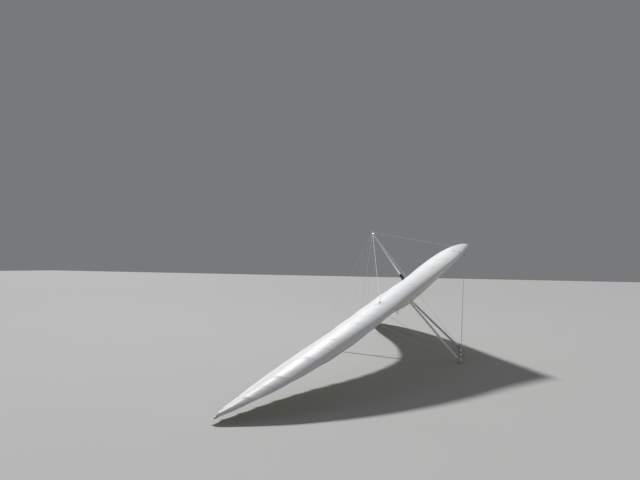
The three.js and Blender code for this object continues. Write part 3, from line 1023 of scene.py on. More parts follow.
@dataclass(frozen=True)
class WingForm:
    """The wing's outline and sections, on smooth curves through a few stations.

    Attributes:
        stations: The sections that the wing runs through, from the keel to the tip.
        battens: Where the battens lie.
        scallop: How far the trailing edge draws in between battens.
        crown_at: Where the upper cloth is highest, as a share of the chord.
        belly_at: Where the lower cloth is lowest.
        belly_fades_at: Where the lower cloth comes back to the chord line.
        cloth_rises: Between which shares of the chord the lower cloth comes up to the upper one.
        under_gap: How far below the upper cloth it lies from there on.
        nose_round: The radius of the nose, seen from above.
        tip_round: The length over which the tip closes.
        tilt: How far the wing is turned about the nose, tail up, from the keel, in degrees.
    """

    stations: tuple[Station, ...] = (
        Station(0.0, 0.0, -1.98, 0.0, 0.8, 0.146, 0.048, 0.6),
        Station(0.5, -0.235, -2.025, -0.075, 0.9, 0.161, 0.038, 0.7),
        Station(1.25, -0.6, -2.165, -0.15, 2.8, 0.173, 0.035, 0.6),
        Station(2.05, -0.957, -2.39, -0.215, 5.9, 0.173, 0.035, 0.5),
        Station(2.9, -1.388, -2.685, -0.287, 8.7, 0.16, 0.038, 0.5),
        Station(3.7, -1.883, -2.915, -0.321, 10.5, 0.132, 0.068, 0.5),
        Station(4.4, -2.418, -3.075, -0.345, 14.3, 0.1, 0.015, 0.6),
        Station(4.7, -2.733, -3.132, -0.312, 15.2, 0.062, 0.004, 0.85),
        Station(4.934, -3.039, -3.141, -0.259, 12.0, 0.029, 0.004, 1.0),
    )
    battens: tuple[float, ...] = (0.33, 0.76, 1.19, 1.62, 2.05, 2.48, 2.9, 3.31, 3.7, 4.07, 4.4, 4.7)
    scallop: float = 0.016
    crown_at: float = 0.25
    belly_at: float = 0.1
    belly_fades_at: float = 0.75
    cloth_rises: tuple[float, float] = (0.45, 0.78)
    under_gap: float = 0.008
    nose_round: float = 0.012
    tip_round: float = 0.03
    tilt: float = 1.2

    @property
    def root_chord(self) -> float:
        """The chord beside the keel."""
        return self.stations[0].chord

    @property
    def half_span(self) -> float:
        """The distance from the keel to the tip."""
        return self.stations[-1].away

    @property
    def bay_edges(self) -> tuple[float, ...]:
        """The keel, the battens and the tip."""
        return (0.0, *self.battens, self.half_span)

    def bay_share(self, away: float) -> tuple[float, float]:
        """How far across its bay a place is, from 0 to 1, and its distance from the nearest batten.

        Args:
            away: The place's distance from the keel.

        Returns:
            The share and the distance.
        """
        edges = self.bay_edges
        bay = max(i for i, edge in enumerate(edges[:-1]) if edge <= max(away, 0.0))
        share = (away - edges[bay]) / (edges[bay + 1] - edges[bay])
        nearest = min(abs(away - batten) for batten in self.battens)
        return min(max(share, 0.0), 1.0), nearest

    @functools.cache
    def section(self, away: float) -> Station:
        """The wing's section at any distance from the keel.

        Args:
            away: The distance.

        Returns:
            The section, on smooth curves through the stations.
        """
        rows = self.stations
        last = len(rows) - 1
        bay = min(max(i for i, row in enumerate(rows) if row.away <= away + 1e-9), last - 1)
        width = rows[bay + 1].away - rows[bay].away
        t = (away - rows[bay].away) / width

        def slope(row: int, name: str) -> float:
            """How fast a column changes at a station."""
            before, after = rows[max(row - 1, 0)], rows[min(row + 1, last)]
            return (getattr(after, name) - getattr(before, name)) / (after.away - before.away)

        def value(name: str) -> float:
            """A column on its smooth curve.

            Args:
                name: The column.

            Returns:
                Its value.
            """
            first, step = getattr(rows[bay], name), getattr(rows[bay + 1], name) - getattr(rows[bay], name)
            start, end = slope(bay, name) * width, slope(bay + 1, name) * width
            return first + t * (start + t * (3 * step - 2 * start - end + t * (start + end - 2 * step)))

        share, _ = self.bay_share(away)
        drawn = self.scallop * 4 * share * (1 - share)
        blunt = 0.45 * (math.hypot(away, self.nose_round) - away)
        return Station(
            away, value("lead") - blunt, value("trail") + drawn, value("drop"),
            value("twist"), value("crown"), value("belly"), value("sharp"),
        )

    def front_shape(self, u: float, at: float, sharp: float) -> float:
        """How a cloth swells from the leading edge to its highest or lowest place, from 0 to 1."""
        return max(0.0, 1 - ((at - u) / at) ** 2) ** sharp

    def crown_shape(self, u: float, sharp: float) -> float:
        """The upper cloth's height along the chord, as a share of its crown.

        Args:
            u: The share of the chord behind the leading edge.
            sharp: How sharp the leading edge is.

        Returns:
            The share of the crown.
        """
        if u < self.crown_at:
            return self.front_shape(u, self.crown_at, sharp)
        return 0.5 * (1 + math.cos(math.pi * (u - self.crown_at) / (1 - self.crown_at)))

    def belly_shape(self, u: float, sharp: float) -> float:
        """The lower cloth's depth along the chord, as a share of its belly.

        Args:
            u: The share of the chord behind the leading edge.
            sharp: How sharp the leading edge is.

        Returns:
            The share of the belly.
        """
        if u < self.belly_at:
            return self.front_shape(u, self.belly_at, sharp)
        return max(0.0, 1 - ((u - self.belly_at) / (self.belly_fades_at - self.belly_at)) ** 1.3)

    def point(self, y: float, u: float, upper: bool, stand: float = 0.0) -> Vector:
        """A point on the wing's skin.

        Args:
            y: The place across the glider, with its sign.
            u: The share of the chord behind the leading edge.
            upper: Whether it is on the upper cloth.
            stand: How far off the skin it is.

        Returns:
            The point.
        """
        away = min(abs(y), self.half_span)
        s = self.section(away)
        lead = s.lead + stand
        chord = lead - s.trail
        close = min(max((away - self.half_span) / self.tip_round + 1, 0.0), 1.0)
        full = math.sqrt(max(0.0, 1 - close * close))
        top = (s.crown + stand) * self.crown_shape(u, s.sharp) * full
        bottom = -(s.belly + stand) * self.belly_shape(u, s.sharp) * full
        rise = eased(*self.cloth_rises, u)
        height = top if upper else bottom * (1 - rise) + (top - self.under_gap * full) * rise
        twist = math.radians(s.twist)
        z = s.drop + chord * u * math.sin(twist) + height
        return self.tilted(Vector((lead - chord * u * math.cos(twist), y, z)))

    def tilted(self, spot: Vector) -> Vector:
        """Turns a point with the wing.

        Args:
            spot: The point on a wing that lies along the keel.

        Returns:
            The point on the tilted wing.
        """
        tilt = math.radians(self.tilt)
        x = spot.x * math.cos(tilt) + spot.z * math.sin(tilt)
        return Vector((x, spot.y, spot.z * math.cos(tilt) - spot.x * math.sin(tilt)))

    def normal(self, y: float, u: float, upper: bool) -> Vector:
        """The outward normal of the wing's skin.

        Args:
            y: The place across the glider, with its sign.
            u: The share of the chord behind the leading edge.
            upper: Whether it is on the upper cloth.

        Returns:
            The normal.
        """
        step = 0.004
        ahead, behind = self.point(y, max(u - step, 0.0), upper), self.point(y, min(u + step, 1.0), upper)
        out, back = self.point(y + step, u, upper), self.point(y - step, u, upper)
        found = (ahead - behind).cross(out - back).normalized()
        return found if upper else -found


WING = WingForm()


@dataclass
class SailHalf:
    """One half of the sail: a skin from the lower cloth's rear hem, round the front, to the trailing edge.

    Attributes:
        side: Which half it is.
        form: The wing's form.
        cloth: How thick the cloth is.
        lower_end: The share of the chord where the lower cloth ends.
        pocket: Half the width of a batten pocket.
        rod: The radius of a batten.
        sag: How far the upper cloth sags between battens.
        under_sag: How far the lower cloth hangs between its ribs.
        crease: How deep the creases in slack cloth are.
        bay_lines: How many lines lie between two battens.
    """

    side: Side
    form: WingForm = WING
    cloth: float = 0.0011
    lower_end: float = 0.8
    pocket: float = SAIL.pocket
    rod: float = 0.006
    sag: float = 0.0032
    under_sag: float = 0.009
    crease: float = 0.0016
    bay_lines: int = 6

    def span_lines(self) -> list[float]:
        """Distances from the keel at which the skin has a row of points.

        Returns:
            The distances, in order.
        """
        lines: set[float] = set()
        edges = self.form.bay_edges
        for start, end in zip(edges, edges[1:]):
            inner, outer = start + self.pocket + 0.003, end - self.pocket - 0.003
            lines.update(inner + (outer - inner) * i / self.bay_lines for i in range(self.bay_lines + 1))
        for batten in self.form.battens:
            for shift in (self.pocket, self.rod, self.rod / 2, 0.0):
                lines.update((batten - shift, batten + shift))
        tip = self.form.half_span
        lines.update(tip - shift for shift in (0.03, 0.024, 0.018, 0.012, 0.007, 0.003, 0.0008))
        lines.update((0.0, 0.008, 0.02, 0.045, 0.08, 0.13))
        return sorted(y for y in lines if 0.0 <= y < tip)

    def chord_lines(self) -> list[tuple[bool, float]]:
        """The skin's columns, as (upper, share of the chord), from the lower hem to the trailing edge.

        Returns:
            The columns.
        """
        lower = [(False, self.lower_end * (1 - math.cos(math.pi / 2 * i / 36))) for i in range(36, 0, -1)]
        upper = [(True, 1 - math.cos(math.pi / 2 * i / 54)) for i in range(0, 55)]
        return lower + upper

    def lift(self, away: float, u: float, upper: bool) -> float:
        """How far the cloth stands above the wing's plain form: battens, sag and creases.

        Args:
            away: The distance from the keel.
            u: The share of the chord behind the leading edge.
            upper: Whether it is on the upper cloth.

        Returns:
            The height.
        """
        share, nearest = self.form.bay_share(away)
        belly = math.sin(math.pi * share) ** 2
        slack = noise.noise(Vector((away * 1.1, u * 3.0, 4.0)))
        slack += 0.5 * noise.noise(Vector((away * 3.1, u * 9.0, 9.0)))
        crease = self.crease * slack * eased(0.06, 0.3, u)
        if not upper:
            return crease - self.under_sag * belly * math.sin(math.pi * min(u / self.lower_end, 1.0)) ** 0.5
        arch = math.sqrt(max(0.0, 1 - (nearest / (self.rod * 1.3)) ** 2))
        ridge = self.rod * 0.55 * arch * eased(0.02, 0.08, u)
        pocket = 0.0006 if nearest <= self.pocket else 0.0
        return ridge + pocket + crease - self.sag * belly * math.sin(math.pi * min(u * 1.05, 1.0)) ** 0.7

    def at(self, y: float, u: float, upper: bool, stand: float = 0.0) -> Vector:
        """A point on the cloth, with its battens, sag and creases.

        Args:
            y: The place across the glider, with its sign.
            u: The share of the chord behind the leading edge.
            upper: Whether it is on the upper cloth.
            stand: How far off the cloth it is.

        Returns:
            The point.
        """
        away = abs(y)
        spot = self.form.point(y, u, upper)
        closing = min(max((self.form.half_span - away) / 0.05, 0.0), 1.0)
        spot.z += self.lift(away, u, upper) * closing * min(u / 0.03, 1.0)
        return spot + self.form.normal(y, u, upper) * stand if stand else spot

    def build(self) -> None:
        """Builds the half sail as a thin closed cloth with an outer and an inner layer."""
        rows, facts = [], {key: [] for key in ("span", "girth", "bay", "trail", "inner")}
        columns = self.chord_lines()
        for away in self.span_lines():
            chord = self.form.section(away).chord
            _, nearest = self.form.bay_share(away)
            rows.append([self.at(away * self.side.value, u, upper) for upper, u in columns])
            for upper, u in columns:
                facts["span"].append(away)
                facts["girth"].append(u * chord * (1 if upper else -1))
                facts["bay"].append(nearest)
                facts["trail"].append((1 - u) * chord if upper else 1.0)
                facts["inner"].append(0.0)
        points, faces = thin_cloth(rows, self.cloth, self.side is Side.RIGHT)
        name = f"sail_cloth_{self.side.word}"
        mesh = plain_mesh(name, points, faces)
        for key, values in facts.items():
            store = mesh.attributes.new(key, "FLOAT", "POINT")
            store.data.foreach_set("value", values + ([1.0] * len(values) if key == "inner" else values))
        mesh.transform(RIG.matrix)
        piece = dressed(mesh, name, SAIL, AIRFRAME, [f"sail_{self.side.word}"], 60.0)


# What is set on the sail and below it


@dataclass
class NoseCone:
    """The film-faced cloth cone that wraps the nose, with bound edges.

    Attributes:
        sail: The half sails that it lies on, by side.
        back: The x of its rear edge.
        half_width: How far out it reaches.
        corner: How much its rear corners are cut.
        stand: How far off the sail it lies.
    """

    sail: dict[Side, SailHalf]
    back: float = -0.29
    half_width: float = 0.4
    corner: float = 0.07
    stand: float = 0.0025

    def at(self, y: float, u: float, upper: bool, stand: float) -> Vector:
        """A point on the sail below the cone."""
        return self.sail[Side.of(y)].at(y, u, upper, stand)

    def edge(self, y: float) -> float:
        """The share of the chord at which the cone ends.

        Args:
            y: The place across the glider.

        Returns:
            The share.
        """
        section = WING.section(abs(y))
        back = self.back + max(0.0, abs(y) - (self.half_width - self.corner))
        return (section.lead - back) / section.chord

    def wrap(self, rows: int, columns: int) -> list[list[Vector]]:
        """A grid of points round the nose, from the lower rear edge to the upper one.

        Args:
            rows: How many steps it has across the nose.
            columns: How many it has round the nose.

        Returns:
            The grid's rows.
        """
        grid = []
        for j in range(rows + 1):
            y = self.half_width * math.sin(math.pi / 2 * (2 * j / rows - 1))
            reach = self.edge(y)
            row = []
            for i in range(columns + 1):
                t = -1 + 2 * i / columns
                u = reach * t * t
                row.append(self.at(y, max(u, 0.0), t >= 0, self.stand))
            grid.append(row)
        return grid

    def shell(self) -> None:
        """Sews the cone itself."""
        points, faces = thin_cloth(self.wrap(48, 56), 0.0012, False)
        mesh = plain_mesh("nose_cone_cloth", points, faces)
        set_grain(mesh, [(p.y, p.x - p.z, 0.0) for p in points])
        mesh.transform(RIG.matrix)
        piece = dressed(mesh, "nose_cone_cloth", CONE, AIRFRAME, ["nose_cone"], 50.0)

    def across_binding(self, half: float) -> tuple[Pair, ...]:
        """The (shift, rise) pairs across a binding of a half width."""
        return ((-half, 0.0), (-half * 0.8, 0.0012), (half * 0.8, 0.0012), (half, -0.0008))

    def binding(self) -> None:
        """Binds the cone's rear edges, above and below, and its ends."""
        shape = Shape()
        half, rows = 0.0075, 60
        for upper in (True, False):
            strip = []
            for j in range(rows + 1):
                y = (self.half_width - 0.004) * (2 * j / rows - 1)
                reach = self.edge(y)
                strip.append([self.at(y, reach + shift, upper, self.stand + rise)
                              for shift, rise in self.across_binding(half / 1.8)])
            shape.rings(strip)
        for side in (-1, 1):
            y, reach = side * self.half_width, self.edge(self.half_width)
            strip = []
            for i in range(25):
                t = -1 + 2 * i / 24
                upper, u = t >= 0, reach * t * t
                strip.append([self.at(y + shift, u, upper, self.stand + rise)
                              for shift, rise in self.across_binding(half)])
            shape.rings(strip)
        shape.build("nose_cone_binding", TAPE)

    def build(self) -> None:
        """Builds the cone."""
        self.shell()
        self.binding()


def along_chord(y: float, start: float, end: float, steps: int) -> list[Pair]:
    """Places on the sail along one section, between two shares of its chord."""
    return [(y, start + (end - start) * i / steps) for i in range(steps + 1)]


@dataclass
class SailTrim:
    """What is set on the sail: root tape and zip, port patches and rings, batten ends and tip plugs.

    Attributes:
        sail: The half sails, by side.
        port_radius: The radius of a side wire's port.
        boot_back: How far behind the nose the kingpost's patch lies.
    """

    sail: dict[Side, SailHalf]
    port_radius: float = 0.015
    boot_back: float = 1.2985

    def tape(self, shape: Shape, spots: Outline, half: float, upper: bool, thick: float = 0.0009) -> None:
        """Lays a tape on the sail.

        Args:
            shape: The shape that takes it.
            spots: The (distance across, share of the chord) pairs that its middle runs through.
            half: Half its width.
            upper: Whether it is on the upper cloth.
            thick: How thick it is.
        """
        edge = (half, -0.0004)
        across = ((-half, edge[1]), (-half * 0.9, thick), (0.0, thick), (half * 0.9, thick), edge)
        strip = []
        for y, u in spots:
            strip.append([self.at(y + shift, u, upper, rise + 0.0004) for shift, rise in across])
        shape.rings(strip)

    def at(self, y: float, u: float, upper: bool, stand: float) -> Vector:
        """A point on the sail."""
        return self.sail[Side.of(y)].at(y, min(max(u, 0.0), 1.0), upper, stand)

    def patch(self, shape: Shape, y: float, u: float, upper: bool, inner: float, outer: float,
              long: float, stand: float = 0.0005) -> None:
        """Lays a round or long patch with a hole on the sail.

        Args:
            shape: The shape that takes it.
            y: Its distance across.
            u: Its share of the chord.
            upper: Whether it is on the upper cloth.
            inner: The radius of its hole.
            outer: Its own radius.
            long: How much longer than wide it is.
            stand: How far off the sail it lies.
        """
        chord = WING.section(abs(y)).chord
        thick, middle = 0.0012, (inner + outer) / 2
        levels = ((inner, 0.0), (inner, thick), (middle, thick), (outer - 0.001, thick), (outer, -0.0004))
        rings = []
        for radius, rise in levels:
            outline = circle(radius, 40)
            rings.append([self.at(y + x, u + v * long / chord, upper, rise + stand) for x, v in outline])
        shape.rings(rings, caps=False)

    def cloth_trim(self) -> None:
        """Sews the root tapes and the patches round wires and kingpost."""
        tapes, patches = Shape(), Shape()
        self.tape(tapes, along_chord(0.0, 0.15, 0.998, 60), 0.019, True)
        self.patch(patches, 0.0, self.boot_back / WING.root_chord, True, 0.03, 0.085, 1.35)
        self.patch(patches, 0.0, POINTS.front_port_at, True, 0.013, 0.034, 1.2, 0.0042)
        for side in Side:
            away, u = POINTS.side_port_at
            for upper in (True, False):
                self.patch(patches, side.value * away, u, upper, self.port_radius + 0.001, 0.062, 1.3)
        tapes.build("sail_root_tape", TAPE)
        patches.build("sail_patches", PATCH)

    def zipper(self) -> None:
        """Runs a zip along the lower cloth's root, ahead of where the keel comes through."""
        shape, tape = Shape(), Shape()
        spots = along_chord(0.0, 0.16, 0.43, 80)
        self.tape(tape, spots, 0.014, False, 0.0007)
        self.tape(shape, spots, 0.003, False, 0.0026)
        shape.build("root_zip_teeth", ZIP)
        tape.build("root_zip_tape", TAPE)

    def ports(self) -> None:
        """Sets the moulded rings that the upper and lower stays run into."""
        top = POINTS.kingpost_top()
        for side in Side:
            for upper, target, word in ((True, top, "top"), (False, POINTS.corner(side), "bottom")):
                place = f"side_port_{word}_{side.word}"
                self.ring(place, place, POINTS.side_port(side, upper), target, self.port_radius)
        self.ring("top_front_wire", "top_front_wire_port", POINTS.front_port(), top, 0.012)

    def ring(self, place: str, node: str, skin: Vector, target: Vector, radius: float) -> None:
        """Sets a grommet with a rolled lip and a sunk middle, square to its wire.

        Args:
            place: Which one it is, which starts its name.
            node: The node that it replaces.
            skin: Where it sits on the sail.
            target: What its wire runs to.
            radius: Its radius.
        """
        profile = [
            (-0.006, radius * 0.8), (0.0, radius * 0.96), (0.0035, radius), (0.0058, radius * 0.9),
            (0.006, radius * 0.72), (0.0048, radius * 0.5), (0.0036, radius * 0.34), (0.003, radius * 0.12),
        ]
        ring = Shape().turned(profile, skin, target - skin, 28)
        ring.build(f"{place}_ring", WHITE, stands_for=[node])

    def batten_ends(self) -> None:
        """Sets a moulded tip and its tensioning cord at the rear of each batten."""
        for side in Side:
            tips, cords, pads = Shape(), Shape(), Shape()
            for away in WING.battens:
                y = side.value * away
                end = self.at(y, 0.9995, True, 0.0)
                ahead = self.at(y, 0.96, True, 0.0)
                way = (end - ahead).normalized()
                profile = [
                    (-0.03, 0.0036), (-0.028, 0.0046), (0.004, 0.0046), (0.006, 0.0056),
                    (0.013, 0.0056), (0.016, 0.004), (0.017, 0.0016),
                ]
                tips.turned(profile, end + Vector((0, 0, 0.001)), way, 14)
                for shift in (-0.011, 0.011):
                    knot = end + way * 0.013
                    foot = self.at(y + shift, 0.982, True, 0.0012)
                    middle = (foot + knot) / 2 + Vector((0, shift * 0.25, 0.0006))
                    cords.sweep(circle(0.0013, 8), [foot, middle, knot], UP)
                self.tape(pads, along_chord(y, 0.94, 0.998, 6), 0.021, True, 0.0016)
            tips.build(f"batten_tips_{side.word}", WHITE)
            cords.build(f"batten_cords_{side.word}", LINE)
            pads.build(f"batten_pads_{side.word}", TAPE)

    def tips(self) -> None:
        """Closes the leading-edge tubes' ends with domed plugs."""
        for side in Side:
            inner = WING.tilted(Vector((-3.062, 4.905 * side.value, -0.25)))
            outer = WING.tilted(Vector((-3.092, 4.948 * side.value, -0.246)))
            length = (outer - inner).length
            profile = [
                (0.0, 0.0115), (0.002, 0.0125), (length * 0.55, 0.0125), (length * 0.58, 0.0131),
                (length * 0.72, 0.0131), (length * 0.84, 0.0115), (length * 0.94, 0.0082), (length, 0.0035),
            ]
            cap = Shape().turned(profile, inner, outer - inner, 26)
            cap.build(f"tip_plug_{side.word}", CREAM, stands_for=[f"tip_cap_{side.word}"])

    def build(self) -> None:
        """Builds all of the trim."""
        self.cloth_trim()
        self.zipper()
        self.ports()
        self.batten_ends()
        self.tips()


@dataclass(frozen=True)
class GliderPoints:
    """The points that the stays run between, in the glider's own frame.

    Attributes:
        side_port_at: The distance out and the share of the chord where the side stays run in.
        front_port_at: The share of the chord where the upper front stay runs in.
        cone_stand: How far off the sail the nose cone stands, which that stay runs into.
        apex: The x and z of the bolt that holds the downtubes at the keel.
        tang_reach: How far from a fitting's centre its tangs end.
        corner_reach: How far from the base bar's corner its tangs end.
        port_depth: How far from the skin a stay ends at its port.
    """

    side_port_at: tuple[float, float] = (2.7, 0.136)
    front_port_at: float = 0.124
    cone_stand: float = 0.003
    apex: Pair = (-1.448, -0.058)
    tang_reach: float = 0.046
    corner_reach: float = 0.066
    port_depth: float = 0.006

    def side_port(self, side: Side, upper: bool) -> Vector:
        """Where a side stay meets the wing's skin."""
        away, u = self.side_port_at
        return WING.point(side.value * away, u, upper)

    def front_port(self) -> Vector:
        """Where the upper front stay meets the wing's skin."""
        return WING.point(0.0, self.front_port_at, True, self.cone_stand)

    def kingpost_top(self) -> Vector:
        """The centre of the kingpost's cap."""
        return Vector((-1.285, 0.0, 1.145))

    def corner(self, side: Side) -> Vector:
        """Where the base bar's axis meets a downtube's."""
        return Vector((-1.197, 0.725 * side.value, -1.529))

    def rear(self) -> Vector:
        """The centre of the rear wire bracket."""
        return Vector((-2.33, 0.0, 0.0))

    def nose_catch(self) -> Vector:
        """The centre of the nose catch."""
        return Vector((-0.125, 0.0, -0.064))

    def down(self, side: Side) -> tuple[Vector, Vector]:
        """A downtube's upper end and the way down it.

        Args:
            side: Which downtube.

        Returns:
            The end and the way.
        """
        x, z = self.apex
        top = Vector((x, 0.05 * side.value, z))
        return top, (self.corner(side) - top).normalized()


POINTS = GliderPoints()


@dataclass
class Keel:
    """The keel tube, its tail plug, the sail's keel pocket, and the bracket of the rear stays.

    Attributes:
        front: The x of the tube's front end.
        tail: The x of the plug's rear face.
        radius: The tube's radius.
    """

    front: float = -0.07
    tail: float = -3.43946
    radius: float = 0.021

    def tube(self) -> None:
        """Builds the tube with rounded ends, and its rivets."""
        start, end = Vector((self.front, 0, 0)), Vector((self.tail + 0.0465, 0, 0))
        tube = Shape().rod(start, end, self.radius, 40, 0.0012)
        tube.build("keel_tube_drawn", TUBE, stands_for=["keel_tube"])
        rivets = Shape()
        for x in (-2.02, -2.06, -2.62, -3.1, -3.36):
            for turn in (0.25, 0.75, 1.25, 1.75):
                way = Vector((0, math.cos(math.pi * turn), math.sin(math.pi * turn)))
                spot = Vector((x, 0, 0)) + way * self.radius
                rivets.turned([(-0.001, 0.003), (0.0006, 0.003), (0.0012, 0.0018)], spot, way, 12)
        rivets.build("keel_rivets", STEEL)

    def plug(self) -> None:
        """Builds the ribbed plug on the tail."""
        profile = [(0.0, 0.006), (0.0, 0.0165), (0.0012, 0.0185), (0.005, 0.0235), (0.0165, 0.0235)]
        for at in (0.0175, 0.0245, 0.0315):
            profile += [(at, 0.0222), (at + 0.0025, 0.0222), (at + 0.0035, 0.0235), (at + 0.0058, 0.0235)]
        profile += [(0.0445, 0.0235), (0.046, 0.0222)]
        plug = Shape().turned(profile, Vector((self.tail, 0, 0)), FORWARD, 40)
        plug.build("keel_plug_moulding", RUBBER, stands_for=["keel_tail_plug"])

    def pocket(self) -> None:
        """Sews the sleeve of cloth that holds the sail down on the keel."""
        rows, wall = [], 0.0245
        front, back, steps = -1.69, -1.96, 18
        for j in range(steps + 1):
            x = front + (back - front) * j / steps
            u = -x / WING.root_chord
            top = WING.point(0.0, min(u, 0.999), True).z - 0.004
            row = []
            for i in range(33):
                turn = math.pi * 2 * (i / 32)
                spread = wall + 0.0007 * math.sin(9 * turn + j * 0.8)
                y, z = math.sin(turn) * spread, math.cos(turn) * spread
                if z > 0.6 * wall:
                    share = (z / wall - 0.6) / 0.4
                    z += share * max(top - wall, 0.0)
                    y *= 1 - 0.75 * share
                row.append(Vector((x, y, z)))
            rows.append(row)
        points, faces = thin_cloth(rows, 0.0012, True)
        mesh = plain_mesh("keel_pocket_sleeve", points, faces)
        set_grain(mesh, [(p.x, math.atan2(p.y, p.z) * wall, 0.0) for p in points])
        mesh.transform(RIG.matrix)
        piece = dressed(mesh, "keel_pocket_sleeve", POCKET, AIRFRAME, ["keel_pocket"], 60.0)
        bands = Shape()
        across = ((-0.009, 0.0249), (-0.008, 0.0259), (0.008, 0.0259), (0.009, 0.0249))
        for x in (front - 0.006, (front + back) / 2, back + 0.006):
            spot = Vector((x, 0, 0))
            strips = []
            for i in range(31):
                turn = math.pi * 2 * (0.18 + 0.64 * i / 30)
                way = Vector((0, math.sin(turn), math.cos(turn)))
                strips.append([spot + way * r + Vector((s, 0, 0)) for s, r in across])
            bands.rings(strips)
        bands.build("keel_pocket_bands", TAPE)

    def rear_bracket(self) -> None:
        """Builds the clamp and tangs that the rear stays pull on."""
        centre = POINTS.rear()
        shape = Shape()
        outer, inner = 0.0262, 0.0214
        profile = [
            (-0.032, inner), (-0.032, outer - 0.001), (-0.031, outer),
            (0.031, outer), (0.032, outer - 0.001), (0.032, inner),
        ]
        shape.turned(profile, centre, FORWARD, 44)
        for x in (-0.02, 0.02):
            for side in Side:
                shape.bolt(centre + FORWARD * x + side.out * 0.0258, side.out, 0.008)
        for target in (*map(POINTS.corner, Side), POINTS.kingpost_top()):
            tang(shape, centre, target, 0.024, POINTS.tang_reach)
        shape.build("rear_bracket_clamp", STEEL, stands_for=["rear_wire_bracket"])

    def build(self) -> None:
        """Builds the keel and what sits on it."""
        self.tube()
        self.plug()
        self.pocket()
        self.rear_bracket()


def tang(shape: Shape, centre: Vector, target: Vector, near: float, far: float,
         width: float = 0.013) -> None:
    """Adds a flat steel tang that points along a stay.

    Args:
        shape: The shape that takes it.
        centre: The fitting's centre.
        target: What the stay runs to.
        near: How far from the centre it starts.
        far: How far from the centre it ends.
        width: Its width.
    """
    thick = 0.0032
    way = (target - centre).normalized()
    across = beside(way)
    length = far - near + width / 2
    outline = slab(length, width, width * 0.49, 6)
    shape.plate(outline, centre + way * (near - width / 2 + length / 2), way, across, thick, 0.0006)
    hole = centre + way * (far - width / 2)
    normal = way.cross(across)
    shape.rod(hole - normal * 0.0065, hole + normal * 0.0065, 0.0028, 14, 0.0006)


@dataclass
class Nose:
    """The nose plate below the cone and the catch that the front stays hook on."""

    def plate(self) -> None:
        """Builds the plate with its edge flanges and bolts."""
        outline = [
            (0.0625, -0.029), (0.0625, 0.029), (0.058, 0.033), (-0.056, 0.0605),
            (-0.0625, 0.056), (-0.0625, -0.056), (-0.056, -0.0605), (0.058, -0.033),
        ]
        centre = Vector((-0.1275, 0.0, -0.048))
        shape = Shape().plate(outline, centre, FORWARD, LEFTWARD, 0.006, 0.001)
        for x, y in ((-0.085, 0.0), (-0.17, 0.04), (-0.17, -0.04), (-0.1, 0.022), (-0.1, -0.022)):
            shape.bolt(Vector((x, y, -0.051)), -UP, 0.011)
        shape.build("nose_plate_milled", PLATE, stands_for=["nose_plate"])

    def catch(self) -> None:
        """Builds the catch: two bolted cheeks, a bridge, a hook and the front tangs."""
        centre = POINTS.nose_catch()
        shape = Shape()
        cheek = [
            (-0.022, 0.0125), (0.014, 0.0125), (0.022, 0.004), (0.02, -0.006),
            (0.006, -0.0125), (-0.014, -0.0125), (-0.022, -0.004),
        ]
        for side in Side:
            shape.plate(cheek, centre + side.out * 0.0093, FORWARD, UP, 0.0032)
            shape.bolt(centre + FORWARD * 0.006 + side.out * 0.0109, side.out, 0.009)
            tang(shape, centre, POINTS.corner(side), 0.006, POINTS.tang_reach)
        shape.plate(slab(0.04, 0.019, 0.002), centre + Vector((0, 0, 0.0112)), FORWARD, LEFTWARD, 0.0032)
        turns = [i * math.pi / 12 for i in range(13)]
        hook = [centre + Vector((0.012 - 0.02 * math.cos(t), 0, 0.001 - 0.012 * math.sin(t))) for t in turns]
        shape.sweep(circle(0.0032, 12), hook, LEFTWARD)
        shape.build("nose_catch_hook", STEEL, stands_for=["nose_catch"])

    def build(self) -> None:
        """Builds the nose's fittings."""
        self.plate()
        self.catch()


